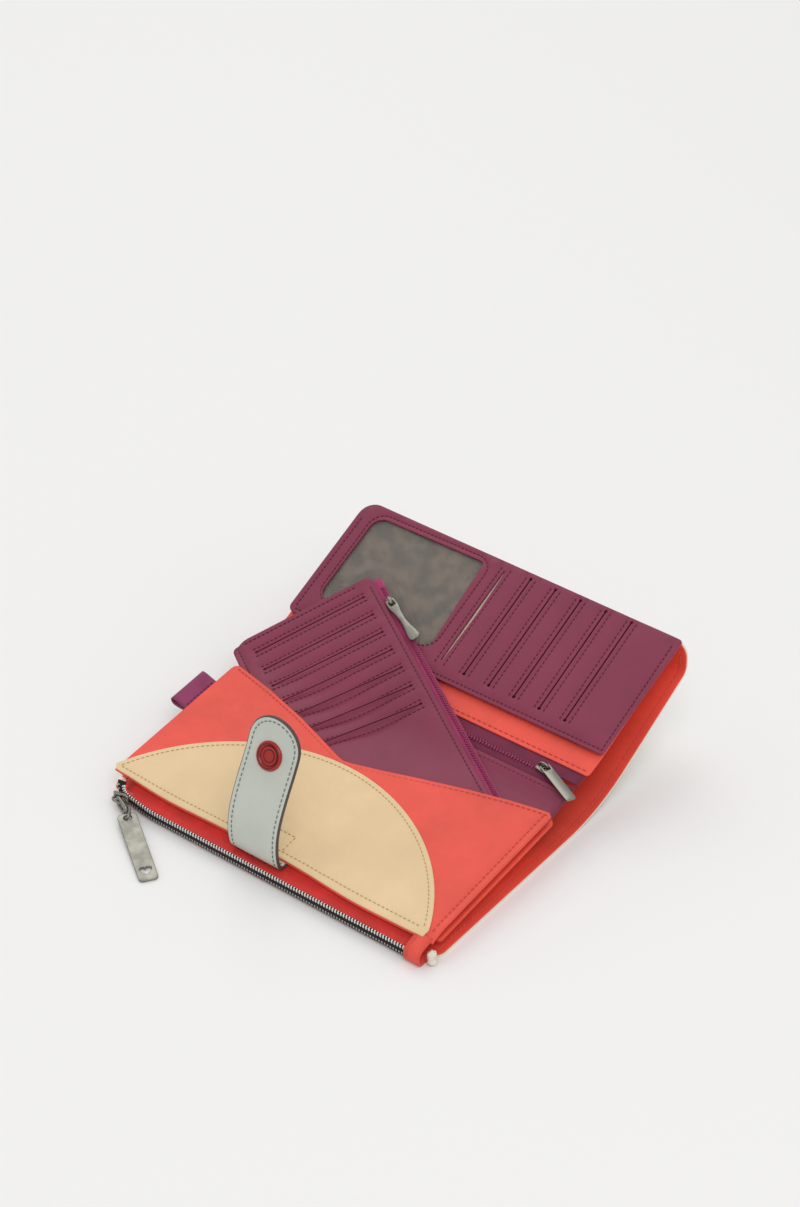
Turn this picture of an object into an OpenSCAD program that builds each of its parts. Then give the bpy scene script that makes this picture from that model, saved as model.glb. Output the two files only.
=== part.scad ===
// Opened continental wallet with a removable card holder.
// X runs along the zip edge, Y from the zip edge towards the flap, Z up from the table.
// The origin is on the table, below the middle of the pocket leaf's zip edge.

/* [Cover] */
// Length of the cover along the zip edge
cover_len = 196; // [180:1:215]
// Thickness of the outer skin
shell_t = 1.2; // [0.8:0.1:1.6]
// Thickness of the inner lining
lining_t = 0.8; // [0.5:0.1:1.2]
// Distance from the zip edge to the first spine crease
front_depth = 94; // [92:0.5:98]
// Width of the spine between its two creases
spine_w = 26; // [24:0.5:28]
// Where the cover starts to rise from the table
rise_start = 100; // [97:0.5:104]
// Radius of the rise
rise_r = 98; // [90:1:110]
// Slope of the opened flap
flap_slope = 28.5; // [26:0.5:31]
// Height of the flap's upturned edge above the table
lip_top = 61.5; // [58:0.5:63]
// Distance from the zip edge to the flap's upturned edge
flap_reach = 197.4; // [195:0.2:200]
// Radius of the flap's corners
flap_corner_r = 9; // [4:0.5:14]
// Gap left for each crease
crease_gap = 1.2; // [0.8:0.1:1.6]

/* [Pocket leaf] */
// How far each end of the pocket leaf stands in from the cover's end
leaf_in = 2.5; // [1.5:0.5:5]
// Depth of the pocket leaf at its ends
leaf_depth = 90; // [84:0.5:91]
// Depth of the leaf at the bottom of its V edge
notch_depth = 62.5; // [50:0.5:75]
// Where the V edge is lowest, from the middle
notch_x = -7; // [-20:1:15]
// Height of the leaf's top face at the zip edge
leaf_z = 12; // [11:0.1:14]
// Slope of the leaf
leaf_slope = 6.2; // [5.5:0.1:7]
// Thickness of the V pocket panel
pocket_t = 1.5; // [1:0.1:1.8]
// Thickness of the half-round patch
patch_t = 1.0; // [0.6:0.1:1.4]
// Height of the half-round patch
patch_h = 62; // [50:0.5:66]
// Depth of the space that holds the card holder
pocket_gap = 4.2; // [3.8:0.1:4.4]
// Thickness of the panel behind the pocket
back_t = 1.0; // [0.8:0.1:1.2]
// Thickness of each lining bag
bag_t = 0.9; // [0.6:0.1:1]
// Size of the folded side label
label_w = 23; // [15:0.5:30]
// Distance from the zip edge to the side label
label_y = 50.5; // [40:0.5:58]
// How far the side label stands out
label_out = 8.5; // [5:0.5:12]

/* [Strap] */
// Width of the closing strap
strap_w = 28.5; // [22:0.5:34]
// Thickness of the strap
strap_t = 1.8; // [1.4:0.1:2.2]
// Length of the strap that stands up
strap_len = 65; // [55:0.5:75]
// Length of the strap up to its upper bend
strap_bend_at = 24; // [20:0.5:28]
// Sideways place of the strap
strap_x = -4; // [-30:1:30]
// Lean of the strap, measured from the table
strap_lean = 74; // [68:1:80]
// Middle radius of the curl at the strap's root
curl_r = 3.5; // [3:0.1:4]
// Diameter of the snap cap
cap_d = 13.4; // [10:0.2:17]
// Distance from the strap's tip to the snap
snap_from_tip = 17.7; // [12:0.1:22]

/* [Main zip] */
// How much shorter the tooth chain is than the leaf
chain_short = 15; // [14.5:0.5:30]
// Distance between teeth of one row
tooth_pitch = 2.8; // [2.6:0.1:4]
// Width of one tooth along the chain
tooth_w = 1.2; // [1:0.1:1.3]
// How far the chain stands out from the leaf
chain_out = 7.2; // [6:0.1:8.5]
// Height of the chain's middle
chain_z = 5.6; // [5:0.1:6.2]
// Length of the metal tag
tag_len = 42; // [30:0.5:50]
// Width of the metal tag
tag_w = 9.6; // [7:0.2:12]
// Thickness of the metal tag
tag_t = 1.3; // [1:0.1:1.8]

/* [Card page] */
// How far each end of the card page stands in from the cover's end
page_in = 2; // [1.5:0.5:5]
// Distance from the zip edge to the page's near edge
page_near_y = 128.3; // [127.5:0.1:129.5]
// Slope of the card page
page_slope = 24.85; // [24:0.05:25.5]
// Height of the page's near edge
page_near_z = 31.8; // [31:0.1:33]
// Thickness of the page's face panel
panel_t = 1.2; // [0.9:0.1:1.3]
// Number of card slots on the page
page_slots = 6; // [4:1:6]
// Distance between the page's slots
page_pitch = 14.85; // [12:0.05:15]
// Leather left beyond the two ends of a slot, together
slot_margin = 12.1; // [11:0.1:16]
// Width of a card slot
slot_w = 0.8; // [0.4:0.1:1.2]
// Radius of the punched slot ends
punch_r = 0.9; // [0.7:0.1:1.3]
// Width of the ID window
window_w = 69.5; // [60:0.5:71]
// Leather left beyond the window, near and far together
window_margin = 19.2; // [18:0.2:26]
// Corner radius of the ID window
window_r = 6; // [3:0.5:9]
// Thickness of the clear film
film_t = 0.4; // [0.2:0.1:0.5]
// Thickness of a slot lining
slip_t = 0.2; // [0.15:0.05:0.25]
// Thickness of the page's backing
backing_t = 0.9; // [0.6:0.1:1.1]

/* [Coin zip] */
// Distance from the coin zip's coil to the page's near edge
coin_back = 17.3; // [16.8:0.1:18]
// Height of the coin zip's coil
coin_z = 22.8; // [22.4:0.1:23]
// Radius of a nylon coil
coil_r = 1.3; // [1.1:0.1:1.4]
// Place of the coin zip slider along the zip
coin_slider_x = 75; // [-60:1:76]
// Length of the coin zip puller
coin_pull_len = 26; // [18:0.5:30]
// Width of the coin zip puller
coin_pull_w = 5.4; // [4:0.2:7]

/* [Card holder] */
// Length of the card holder
holder_len = 175; // [160:1:176]
// Width of the card holder
holder_w = 76; // [74:0.5:80]
// Thickness of the card holder
holder_t = 3.4; // [2.8:0.1:3.5]
// Turn of the card holder in the wallet
holder_turn = 31.5; // [30:0.5:33]
// Number of card slots on the holder
holder_slots = 7; // [5:1:7]
// Distance between the holder's slots
holder_pitch = 12.3; // [10:0.1:13]
// Distance from the holder's zip edge to its slots
holder_slot_in = 8; // [7:0.5:10]
// Distance from the holder's lower edge to its slots
holder_slot_far = 11; // [9:0.5:16]
// Width of the holder's zip tape that shows
holder_tape_w = 3.2; // [2.5:0.1:4]
// Length of the holder's puller
holder_pull_len = 27; // [20:0.5:30]

/* [Hidden] */
$fn = 32;

coral = [0.86, 0.33, 0.28];
cream = [0.92, 0.88, 0.82];
beige = [0.86, 0.77, 0.60];
purple = [0.49, 0.23, 0.32];
zip_red = [0.78, 0.16, 0.13];
zip_magenta = [0.58, 0.20, 0.36];
strap_grey = [0.72, 0.76, 0.74];
snap_red = [0.70, 0.16, 0.15];
steel = [0.66, 0.66, 0.62];
lining_brown = [0.40, 0.36, 0.31];

cover_t = shell_t + lining_t;
leaf_len = cover_len - 2 * leaf_in;
page_len = cover_len - 2 * page_in;
chain_len = leaf_len - chain_short;
gap = 0.3;
far = 400;

// Points along an arc in the Y-Z plane, as [y, z]
function arc(c, r, a0, a1, n) =
    [for (i = [0:n]) let (a = a0 + (a1 - a0) * i / n) [c.x + r * cos(a), c.y + r * sin(a)]];
function unit(v) = v / norm(v);
function left_of(v) = [-v.y, v.x];
// Path moved sideways by d, to the left of its direction
function beside(p, d) = [for (i = [0:len(p) - 1])
    let (
        a = unit(p[max(i, 1)] - p[max(i, 1) - 1]),
        b = unit(p[min(i + 1, len(p) - 1)] - p[min(i + 1, len(p) - 1) - 1]),
        n = unit(left_of(a) + left_of(b)))
    p[i] + n * d / (n * left_of(a))];
function backwards(p) = [for (i = [len(p) - 1:-1:0]) p[i]];

// A Y-Z outline drawn out along X
module along_x(x0, x1) {
    translate([x0, 0, 0])
        rotate([90, 0, 90])
            linear_extrude(x1 - x0)
                children();
}

// A sheet that follows a Y-Z path, between two distances from it
module sheet(path, d0, d1, x0, x1) {
    along_x(x0, x1)
        polygon(concat(beside(path, d0), backwards(beside(path, d1))));
}

module rounded(size, r) {
    translate([r, r])
        offset(r = r)
            square([size.x - 2 * r, size.y - 2 * r]);
}

// A rectangle with one radius at its four corners, from exact circles
module rounded_plate(size, r, t) {
    linear_extrude(t)
        union() {
            translate([r, 0]) square([size.x - 2 * r, size.y]);
            translate([0, r]) square([size.x, size.y - 2 * r]);
            for (x = [r, size.x - r])
                for (y = [r, size.y - r])
                    translate([x, y]) circle(r);
        }
}

// A slit with a punched hole at each end, along Y
module slit(length, depth) {
    translate([-slot_w / 2, 0, -depth]) cube([slot_w, length, 2 * depth]);
    for (y = [0, length])
        translate([0, y, -depth]) cylinder(r = punch_r, h = 2 * depth);
}

// Cover

cover_edge_y = -3;
lip_lean = 93.6;
rise_end = [rise_start + rise_r * sin(flap_slope), rise_r * (1 - cos(flap_slope))];
flap_dir = [cos(flap_slope), sin(flap_slope)];
lip_dir = [cos(lip_lean), sin(lip_lean)];
lip_end = [flap_reach, lip_top];
// Where the flap's slope and its upturned edge would meet
lip_run = ((lip_end.x - rise_end.x) * lip_dir.y - (lip_end.y - rise_end.y) * lip_dir.x)
    / (flap_dir.x * lip_dir.y - flap_dir.y * lip_dir.x);
lip_corner = rise_end + flap_dir * lip_run;
lip_r = 7;
lip_cut = lip_r * tan((lip_lean - flap_slope) / 2);
lip_arc_c = lip_corner - flap_dir * lip_cut + left_of(flap_dir) * lip_r;
cover_path = concat(
    [[cover_edge_y, 0]],
    arc([rise_start, rise_r], rise_r, -90, -90 + flap_slope, 10),
    arc(lip_arc_c, lip_r, flap_slope - 90, lip_lean - 90, 5),
    [lip_end]);
crease_2 = front_depth + spine_w;

module cover_sheet(d0, d1, y0, y1) {
    intersection() {
        sheet(cover_path, d0, d1, -cover_len / 2, cover_len / 2);
        translate([-far / 2, y0, -1]) cube([far, y1 - y0, far]);
    }
}

// Keeps what lies inside the flap's rounded upper corners
module flap_corners() {
    intersection() {
        children();
        translate([0, far, 0])
            rotate([90, 0, 0])
                linear_extrude(far)
                    union() {
                        translate([-cover_len / 2, -1])
                            square([cover_len, lip_top - flap_corner_r + 1]);
                        translate([-cover_len / 2 + flap_corner_r, -1])
                            square([cover_len - 2 * flap_corner_r, lip_top + 2]);
                        for (s = [-1, 1])
                            translate([s * (cover_len / 2 - flap_corner_r), lip_top - flap_corner_r])
                                circle(flap_corner_r);
                    }
    }
}

module cover_front_shell() {
    color(cream)
        cover_sheet(0, shell_t, cover_edge_y, front_depth - crease_gap / 2);
}

module cover_front_lining() {
    color(coral)
        cover_sheet(shell_t, cover_t, cover_edge_y, front_depth - crease_gap / 2);
}

module cover_spine_shell() {
    color(cream)
        cover_sheet(0, shell_t, front_depth + crease_gap / 2, crease_2 - crease_gap / 2);
}

module cover_spine_lining() {
    color(coral)
        cover_sheet(shell_t, cover_t, front_depth + crease_gap / 2, crease_2 - crease_gap / 2);
}

module cover_flap_shell() {
    color(cream)
        flap_corners()
            cover_sheet(0, shell_t, crease_2 + crease_gap / 2, far);
}

module cover_flap_lining() {
    color(coral)
        flap_corners()
            cover_sheet(shell_t, cover_t, crease_2 + crease_gap / 2, far);
}

// The stud sits where the strap's snap lands when the wallet is closed
snap_run = strap_len - snap_from_tip - strap_bend_at;
stud_at = lip_corner - flap_dir * snap_run;

module snap_stud() {
    color(steel)
        translate([strap_x, stud_at.x, stud_at.y])
            rotate([180 + flap_slope, 0, 0])
                rotate_extrude()
                    polygon([[0, 0], [5, 0], [5, 0.5], [4.4, 0.9], [2.0, 0.9], [1.7, 1.6],
                        [2.1, 2.2], [1.6, 3.0], [0, 3.0]]);
}

// Main zip

chain_x0 = -chain_len / 2 - 2.2;
tooth_n = floor(chain_len / tooth_pitch);
tape_t = 0.6;
row_half = 1.9;

module main_zip_tape_upper() {
    color(zip_red)
        sheet([[2.8, leaf_z - pocket_t - 0.8], [-1.5, leaf_z - pocket_t - 1.0],
            [-chain_out + 0.3, chain_z + 3.5], [-chain_out + 0.3, chain_z + row_half + 0.25]],
            0, tape_t, -leaf_half + 4.8, leaf_half - 9.3);
}

module main_zip_tape_lower() {
    color(zip_red)
        sheet([[4, cover_t + 0.1], [-chain_out + 0.9, cover_t + 0.1], [-chain_out + 0.3, cover_t + 0.7],
            [-chain_out + 0.3, chain_z - row_half - 0.25]],
            -tape_t, 0, -leaf_half + 4.8, leaf_half - 9.3);
}

// One row of teeth clamped on its bead
module tooth_row(side, shift) {
    translate([chain_x0, -chain_out, chain_z + side * (row_half - 0.3)])
        rotate([0, 90, 0])
            cylinder(r = 0.55, h = chain_len);
    for (i = [0:tooth_n - 1])
        translate([chain_x0 + shift + i * tooth_pitch, -chain_out - 1.3,
                chain_z + (side > 0 ? -0.2 : -row_half)])
            cube([tooth_w, 2.6, row_half + 0.2]);
}

module main_zip_teeth_upper() {
    color(steel) tooth_row(1, 0.3);
}

module main_zip_teeth_lower() {
    color(steel) tooth_row(-1, 0.3 + tooth_pitch / 2);
}

// A leather tab folded round one end of the zip
module end_tab(x0, x1) {
    reach = chain_out + 2.4;
    sheet([[-1.6, cover_t + 0.2], [-reach + 2, cover_t + 0.2], [-reach, chain_z - 1.6],
        [-reach, chain_z + 1.8], [-reach + 2.2, leaf_z - 3.0], [-1.6, leaf_z - 1.9]], 0, -0.9, x0, x1);
}

module zip_end_tab_left() {
    color(coral) end_tab(-leaf_len / 2 + 0.5, -leaf_len / 2 + 4.5);
}

module zip_end_tab_right() {
    color(coral) end_tab(leaf_len / 2 - 9, leaf_len / 2 + 0.5);
}

// Slider round the chain, with the bridge that holds the bail
slider_x = -84;
slider_l = 9;
slider_gap = 0.35;

module main_zip_slider() {
    plate_h = 2 * row_half + 1.4;
    inner = 1.3 + slider_gap;
    color(steel)
        translate([slider_x, -chain_out, chain_z])
            difference() {
                union() {
                    for (s = [-1, 1])
                        translate([-slider_l / 2, s > 0 ? inner : -inner - 1.1, -plate_h / 2])
                            cube([slider_l, 1.1, plate_h]);
                    // Bridge
                    translate([-3.2, -inner - 4.3, -0.5]) cube([6.4, 1.0, 1.0]);
                    for (x = [-3.2, 2.2])
                        translate([x, -inner - 4.3, -0.5]) cube([1.0, 3.3, 1.0]);
                }
                // Wedge that parts the rows
                translate([slider_l / 2 + 1, 0, 0])
                    rotate([90, 0, 0])
                        cylinder(r = 1.6, h = 20, center = true);
            }
}

// Flat ring of round wire, with its long way along X
module wire_oval(half_l, half_w, wire) {
    for (s = [-1, 1])
        translate([s * (half_l - half_w), 0, 0])
            rotate([0, 0, s > 0 ? -90 : 90])
                rotate_extrude(angle = 180)
                    translate([half_w, 0]) circle(wire);
    for (s = [-1, 1])
        translate([-(half_l - half_w), s * half_w, 0])
            rotate([0, 90, 0])
                cylinder(r = wire, h = 2 * (half_l - half_w));
}

bridge_y = -chain_out - 1.3 - slider_gap - 2.2;
pull_turn = -34;
bail_turn = -20.2;
bail_c = [slider_x + 3.5, -chain_out - 5.58, chain_z - 1.25];
link_c = bail_c + [5.02, -2.47, -0.42];
tag_hole = bail_c + [7.53, -4.35, -1.62];
// The tag rests on the table at its free end and is held up a little at the link
tag_tilt = asin((tag_hole.z - gap) / (tag_len - 3));

module zip_bail() {
    color(steel)
        translate(bail_c)
            rotate([0, 0, bail_turn])
                rotate([90, 10, 0])
                    wire_oval(5.0, 2.6, 0.6);
}

module zip_link() {
    color(steel)
        translate(link_c)
            rotate([0, 0, pull_turn - 23.1])
                rotate([42.9, 25.6, 0])
                    wire_oval(3.2, 2.0, 0.5);
}

// Heart cut out of the tag
module heart(size) {
    rotate(45) {
        square(size, center = true);
        translate([0, size / 2]) circle(size / 2);
        translate([size / 2, 0]) circle(size / 2);
    }
}

module zip_tag() {
    color(steel)
        translate(tag_hole)
            rotate([0, tag_tilt, pull_turn])
                difference() {
                    translate([-3, -tag_w / 2, 0])
                        rounded_plate([tag_len, tag_w], tag_w / 2 - 0.5, tag_t);
                    translate([0, 0, -1]) cylinder(r = 2, h = 4);
                    translate([tag_len - 10.5, 0, -1])
                        rotate(-90) linear_extrude(4) heart(2.6);
                }
}

// Pocket leaf

leaf_half = leaf_len / 2;
leaf_run = cos(leaf_slope);
// Y-Z line of the leaf's top face
leaf_path = [[0, leaf_z], [far, leaf_z + far * tan(leaf_slope)]];

// A layer of the leaf between two depths below its top face
module leaf_layer(d0, d1, x0, x1, y0, y1) {
    intersection() {
        sheet(leaf_path, -d0, -d1, x0, x1);
        translate([-far, y0, -far]) cube([2 * far, y1 - y0, 2 * far]);
    }
}

// The V edge: a gentle curve down to the notch from each side
v_steps = 8;
function v_left(t) = leaf_depth - (leaf_depth - notch_depth) * pow(t, 1.45);
function v_right(t) = notch_depth + (leaf_depth - notch_depth) * pow(t, 0.92)
    + 1.5 * sin(180 * t);
v_edge = concat(
    [for (i = [0:v_steps]) let (t = i / v_steps)
        [-leaf_half + (notch_x + leaf_half) * t, v_left(t)]],
    [for (i = [1:v_steps]) let (t = i / v_steps)
        [notch_x + (leaf_half - notch_x) * t, v_right(t)]]);

// Front edge of the leaf, which the panel's skin turns round
leaf_front = -1;

module front_pocket() {
    color(coral)
        difference() {
            intersection() {
                leaf_layer(0, pocket_t, -leaf_half, leaf_half, leaf_front, leaf_depth);
                linear_extrude(far)
                    polygon(concat([[-leaf_half, leaf_front]], v_edge, [[leaf_half, leaf_front]]));
            }
            translate([strap_x - strap_w / 2 - 0.2, -2, 0]) cube([strap_w + 0.4, strap_sewn + 2.2, far]);
        }
}

// Outline of the half-round patch, with its top left of the middle
patch_x0 = -leaf_half;
patch_x1 = leaf_half - 3;
patch_n = 24;
function patch_pt(t) = let (
    a = 180 * (1 - t),
    mid = (patch_x0 + patch_x1) / 2,
    half = (patch_x1 - patch_x0) / 2)
    [mid + half * cos(a) + 4 * sin(a), leaf_front + 1 + patch_h * pow(sin(a), 0.92)];

module half_round_patch() {
    color(beige)
        intersection() {
            leaf_layer(-patch_t, 0, -leaf_half, leaf_half, leaf_front, leaf_depth);
            linear_extrude(far)
                polygon(concat(
                    [[patch_x0, leaf_front]],
                    [for (i = [0:patch_n]) patch_pt(i / patch_n)],
                    [[patch_x1, leaf_front]]));
        }
}

d_back = pocket_t + pocket_gap;
d_coin_bag = d_back + back_t + 0.1;
d_main_bag = d_coin_bag + bag_t + 0.1;
leaf_inner_y0 = 3;
leaf_back_y1 = leaf_depth - 4;

module pocket_back() {
    color(purple)
        leaf_layer(d_back, d_back + back_t, -leaf_half, leaf_half, leaf_inner_y0, leaf_back_y1);
}

module coin_bag() {
    color(cream)
        leaf_layer(d_coin_bag, d_coin_bag + bag_t, -leaf_half + 6, leaf_half - 6,
            leaf_depth / 3, leaf_back_y1);
}

module main_zip_bag() {
    color(cream)
        leaf_layer(d_main_bag, d_main_bag + bag_t, -leaf_half + 4, leaf_half - 4, 5, leaf_back_y1 - 6);
}

module side_label() {
    color(purple)
        leaf_layer(pocket_t + 0.1, pocket_t + 1.3, -leaf_half - label_out, -leaf_half + 3, label_y, label_y + label_w);
}

// Strap

strap_sewn = 12;
curl_c = [-2.2, leaf_z + 2.0];
lean_dir = [cos(strap_lean), sin(strap_lean)];
lean_out = left_of(lean_dir);
strap_start = curl_c + lean_out * curl_r;
strap_d = 0.1;
bend_gap = 0.4;

module strap_root() {
    color(strap_grey)
        leaf_layer(strap_d, pocket_t - 0.1, strap_x - strap_w / 2, strap_x + strap_w / 2,
            leaf_front - 0.2, strap_sewn);
}

module strap_curl() {
    color(strap_grey)
        sheet(arc(curl_c, curl_r, 282, strap_lean + 90, 8), -strap_t / 2, strap_t / 2,
            strap_x - strap_w / 2, strap_x + strap_w / 2);
}

// Moves a shape drawn flat, with Y along the strap and Z out of its face, to the standing strap
module on_strap(along) {
    translate([strap_x, strap_start.x + lean_dir.x * along, strap_start.y + lean_dir.y * along])
        rotate([strap_lean, 0, 0])
            children();
}

module strap_lower() {
    color(strap_grey)
        on_strap(0)
            translate([-strap_w / 2, bend_gap, -strap_t / 2])
                cube([strap_w, strap_bend_at - bend_gap, strap_t]);
}

module strap_upper() {
    tip_run = strap_len - strap_bend_at - strap_w / 2;
    color(strap_grey)
        on_strap(strap_bend_at)
            difference() {
                translate([0, 0, -strap_t / 2])
                    linear_extrude(strap_t)
                        union() {
                            translate([-strap_w / 2, bend_gap]) square([strap_w, tip_run - bend_gap]);
                            translate([0, tip_run]) circle(strap_w / 2);
                        }
                translate([0, snap_run, -strap_t]) cylinder(r = 2.4, h = 2 * strap_t);
            }
}

module snap_cap() {
    color(snap_red)
        on_strap(strap_len - snap_from_tip)
            rotate([0, 0, 0])
                translate([0, 0, strap_t / 2])
                    rotate_extrude()
                        polygon([[0, 0], [cap_d / 2, 0], [cap_d / 2, 0.7], [cap_d / 2 - 0.7, 1.4],
                            [cap_d / 2 - 1.5, 1.4], [cap_d / 2 - 1.8, 1.0], [0, 1.0]]);
}

module snap_socket() {
    color(steel)
        on_strap(strap_len - snap_from_tip)
            translate([0, 0, -strap_t / 2 - 2.2])
                difference() {
                    union() {
                        cylinder(r = 4.6, h = 2.2);
                        cylinder(r = 2.3, h = 2.2 + strap_t);
                    }
                    translate([0, 0, -1]) cylinder(r = 2.15, h = 2.8);
                }
}

// Card page

page_far_gap = 0.8;
page_dir = [cos(page_slope), sin(page_slope)];
page_near = [page_near_y, page_near_z];
// The page fills the space up to the flap's upturned edge
page_depth = (flap_reach - cover_t - page_far_gap - page_near_y) / page_dir.x;
slot_len = page_depth - slot_margin;
seam_y = page_near_y - 9.9;
seam_z = page_near_z - 7.4;
window_d = page_depth - window_margin;

// Moves a shape drawn flat, with Y up the page and Z out of its face, to the page
module on_page() {
    translate([0, page_near.x, page_near.y])
        rotate([page_slope, 0, 0])
            children();
}

page_half = page_len / 2;
page_slot_x0 = -5;
page_slot_in = 8.4;
window_x0 = -page_half + 10.5;
window_y0 = 13.8;

module slots_panel() {
    color(purple)
        on_page()
            difference() {
                translate([-page_half, 0, -panel_t]) rounded_plate([page_len, page_depth], 4, panel_t);
                translate([window_x0, window_y0, -2 * panel_t])
                    rounded_plate([window_w, window_d], window_r, 3 * panel_t);
                for (i = [0:page_slots - 1])
                    translate([page_slot_x0 + i * page_pitch, page_slot_in, 0]) slit(slot_len, 2 * panel_t);
            }
}

module window_film() {
    color([0.8, 0.85, 0.85, 0.35])
        on_page()
            translate([window_x0 - 3, window_y0 - 3, -panel_t - film_t])
                rounded_plate([window_w + 6, window_d + 4.6], window_r, film_t);
}

module window_lining() {
    color(lining_brown)
        on_page()
            translate([window_x0 - 4, window_y0 - 5, -panel_t - film_t - 0.9])
                cube([window_w + 18, window_d + 8, 0.3]);
}

// One thin pocket sheet for each slot but the first, each a little deeper than the last
slip_pitch = slip_t + 0.08;

module card_slot_linings() {
    left_end = window_x0 + window_w + 15;
    color(cream)
        on_page()
            for (i = [1:page_slots - 1])
                let (x = page_slot_x0 + i * page_pitch)
                translate([left_end, page_slot_in - 3, -panel_t - 0.1 - i * slip_pitch])
                    cube([x - left_end - 1, slot_len + 2, slip_t]);
}

backing_d = panel_t + 0.15 + page_slots * slip_pitch;
backing_far = page_near + page_dir * (page_depth - 3.4) - left_of(page_dir) * (backing_d + backing_t);
backing_near = page_near - left_of(page_dir) * (backing_d + backing_t);

module page_backing() {
    color(coral)
        sheet([[seam_y, seam_z], [seam_y + 6, seam_z + 1.7], backing_near, backing_far],
            0, backing_t, -page_half + 1, page_half - 1);
}

// Coin zip

coin_half = leaf_half - 2;
coin_y = page_near_y - coin_back;
leaf_end_z = leaf_z + leaf_back_y1 * tan(leaf_slope) - (d_back + back_t) / leaf_run;

module coin_panel() {
    color(purple)
        sheet([[leaf_back_y1 + 0.5, leaf_end_z + 0.1], [coin_y - 15.5, coin_z - 6.8], [coin_y - 5.5, coin_z - 3.8]],
            0, back_t, -coin_half, coin_half);
}

module coin_zip_tape_near() {
    color(zip_magenta)
        sheet([[coin_y - 10, coin_z - 3.9], [coin_y - 5, coin_z - 1.9], [coin_y - coil_r, coin_z - 0.3]],
            0, tape_t, -coin_half, coin_half);
}

module coin_zip_tape_far() {
    color(zip_magenta)
        sheet([[coin_y + coil_r + 0.2, coin_z - 0.3], [seam_y, seam_z - tape_t - 0.1],
            [seam_y + 4, seam_z + 1.1 - tape_t - 0.1]], 0, tape_t, -coin_half, coin_half);
}

// Nylon coil: a core with one rib for each turn
module coil(length, r, pitch) {
    rotate([0, 90, 0]) {
        cylinder(r = r - 0.35, h = length);
        for (i = [0:floor(length / pitch) - 1])
            translate([0, 0, (i + 0.25) * pitch]) cylinder(r = r, h = pitch * 0.5);
    }
}

module coin_zip_coil() {
    color(zip_magenta)
        translate([-coin_half + 4, coin_y, coin_z])
            coil(2 * coin_half - 8, coil_r, 2.4);
}

// Small coil-zip slider: two plates and a bridge; X along the zip
module coil_slider(r, w) {
    l = 8;
    h = r + 0.3;
    difference() {
        union() {
            translate([-l / 2, -w / 2, h]) cube([l, w, 0.9]);
            translate([-l / 2, -w / 2, -h - 0.8]) cube([l, w, 0.8]);
            translate([-2.6, -0.7, h + 3.0]) cube([5.2, 1.4, 0.8]);
            for (x = [-2.6, 1.8])
                translate([x, -0.7, h]) cube([0.8, 1.4, 3.4]);
        }
        for (s = [-1, 1])
            translate([l / 2 + 2.4, s * w / 2, 0]) cylinder(r = 3.2, h = 20, center = true);
    }
}

module coin_zip_slider() {
    color(steel)
        translate([coin_slider_x, coin_y, coin_z]) coil_slider(coil_r, 6.4);
}

coin_pull_turn = -25;
coin_pull_tilt = 5;
puller_up = coil_r + 2.2;

// Flat bar with a rectangular eye that goes round the bridge
module bar_puller(length, w, t, eye) {
    difference() {
        translate([-1.5, -w / 2, -t / 2]) cube([length, w, t]);
        translate([-0.2, -eye.y / 2, -t]) cube([eye.x, eye.y, 2 * t]);
    }
}

module coin_zip_puller() {
    color(steel)
        translate([coin_slider_x + 0.8, coin_y, coin_z + puller_up])
            rotate([0, coin_pull_tilt, 0])
                rotate([0, 0, coin_pull_turn])
                    bar_puller(coin_pull_len, coin_pull_w, 0.9, [3.0, 3.2]);
}

// Card holder: drawn flat in unrolled lengths, then bent over the pocket's mouth

// Y-Z line of the holder's top face: along the leaf, then up along the page
bend_y0 = 82;
bend_n = 8;
bend_len = 20.6;
holder_d = pocket_t + 0.4;
holder_low = [bend_y0, leaf_z + bend_y0 * tan(leaf_slope) - holder_d / leaf_run];
function bend_angle(s) = leaf_slope + (page_slope - 0.6 - leaf_slope) * min(max(s / bend_len, 0), 1);
// Points along the bend, by short straight steps
function bend_pt(i) = i == 0 ? holder_low : bend_pt(i - 1)
    + bend_len / bend_n * [cos(bend_angle((i - 0.5) * bend_len / bend_n)),
        sin(bend_angle((i - 0.5) * bend_len / bend_n))];
bend_end = bend_pt(bend_n);
up_dir = [cos(page_slope - 0.6), sin(page_slope - 0.6)];
low_dir = [cos(leaf_slope), sin(leaf_slope)];
holder_path = concat(
    [holder_low - low_dir * 90],
    [for (i = [0:bend_n]) bend_pt(i)],
    [bend_end + up_dir * 90]);
// Y of a point at unrolled length s past the end of the bend
function plan_y(s) = s >= 0 ? bend_end.x + s * up_dir.x
    : s >= -bend_len ? let (k = (s + bend_len) / bend_len * bend_n, i = min(floor(k), bend_n - 1))
        bend_pt(i).x + (k - i) * (bend_pt(i + 1).x - bend_pt(i).x)
    : bend_y0 + (s + bend_len) * low_dir.x;
// Corner of the holder at the top of its zip edge, as [x, unrolled length]
holder_top = [-62.7, 59.5];
holder_along = [cos(holder_turn), -sin(holder_turn)];
holder_across = [-sin(holder_turn), -cos(holder_turn)];
function flat_pt(u, v) = holder_top + holder_along * u + holder_across * v;
function plan_pt(p) = [p.x, plan_y(p.y)];
// Straight line in plan between two flat points, with steps for the bend
function plan_line(a, b, n) = [for (i = [0:n - 1]) plan_pt(a + (b - a) * i / n)];
function corner(u, v, r, a0) = [for (i = [0:3]) let (a = a0 + 30 * i) plan_pt(flat_pt(u + r * cos(a), v + r * sin(a)))];

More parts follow.
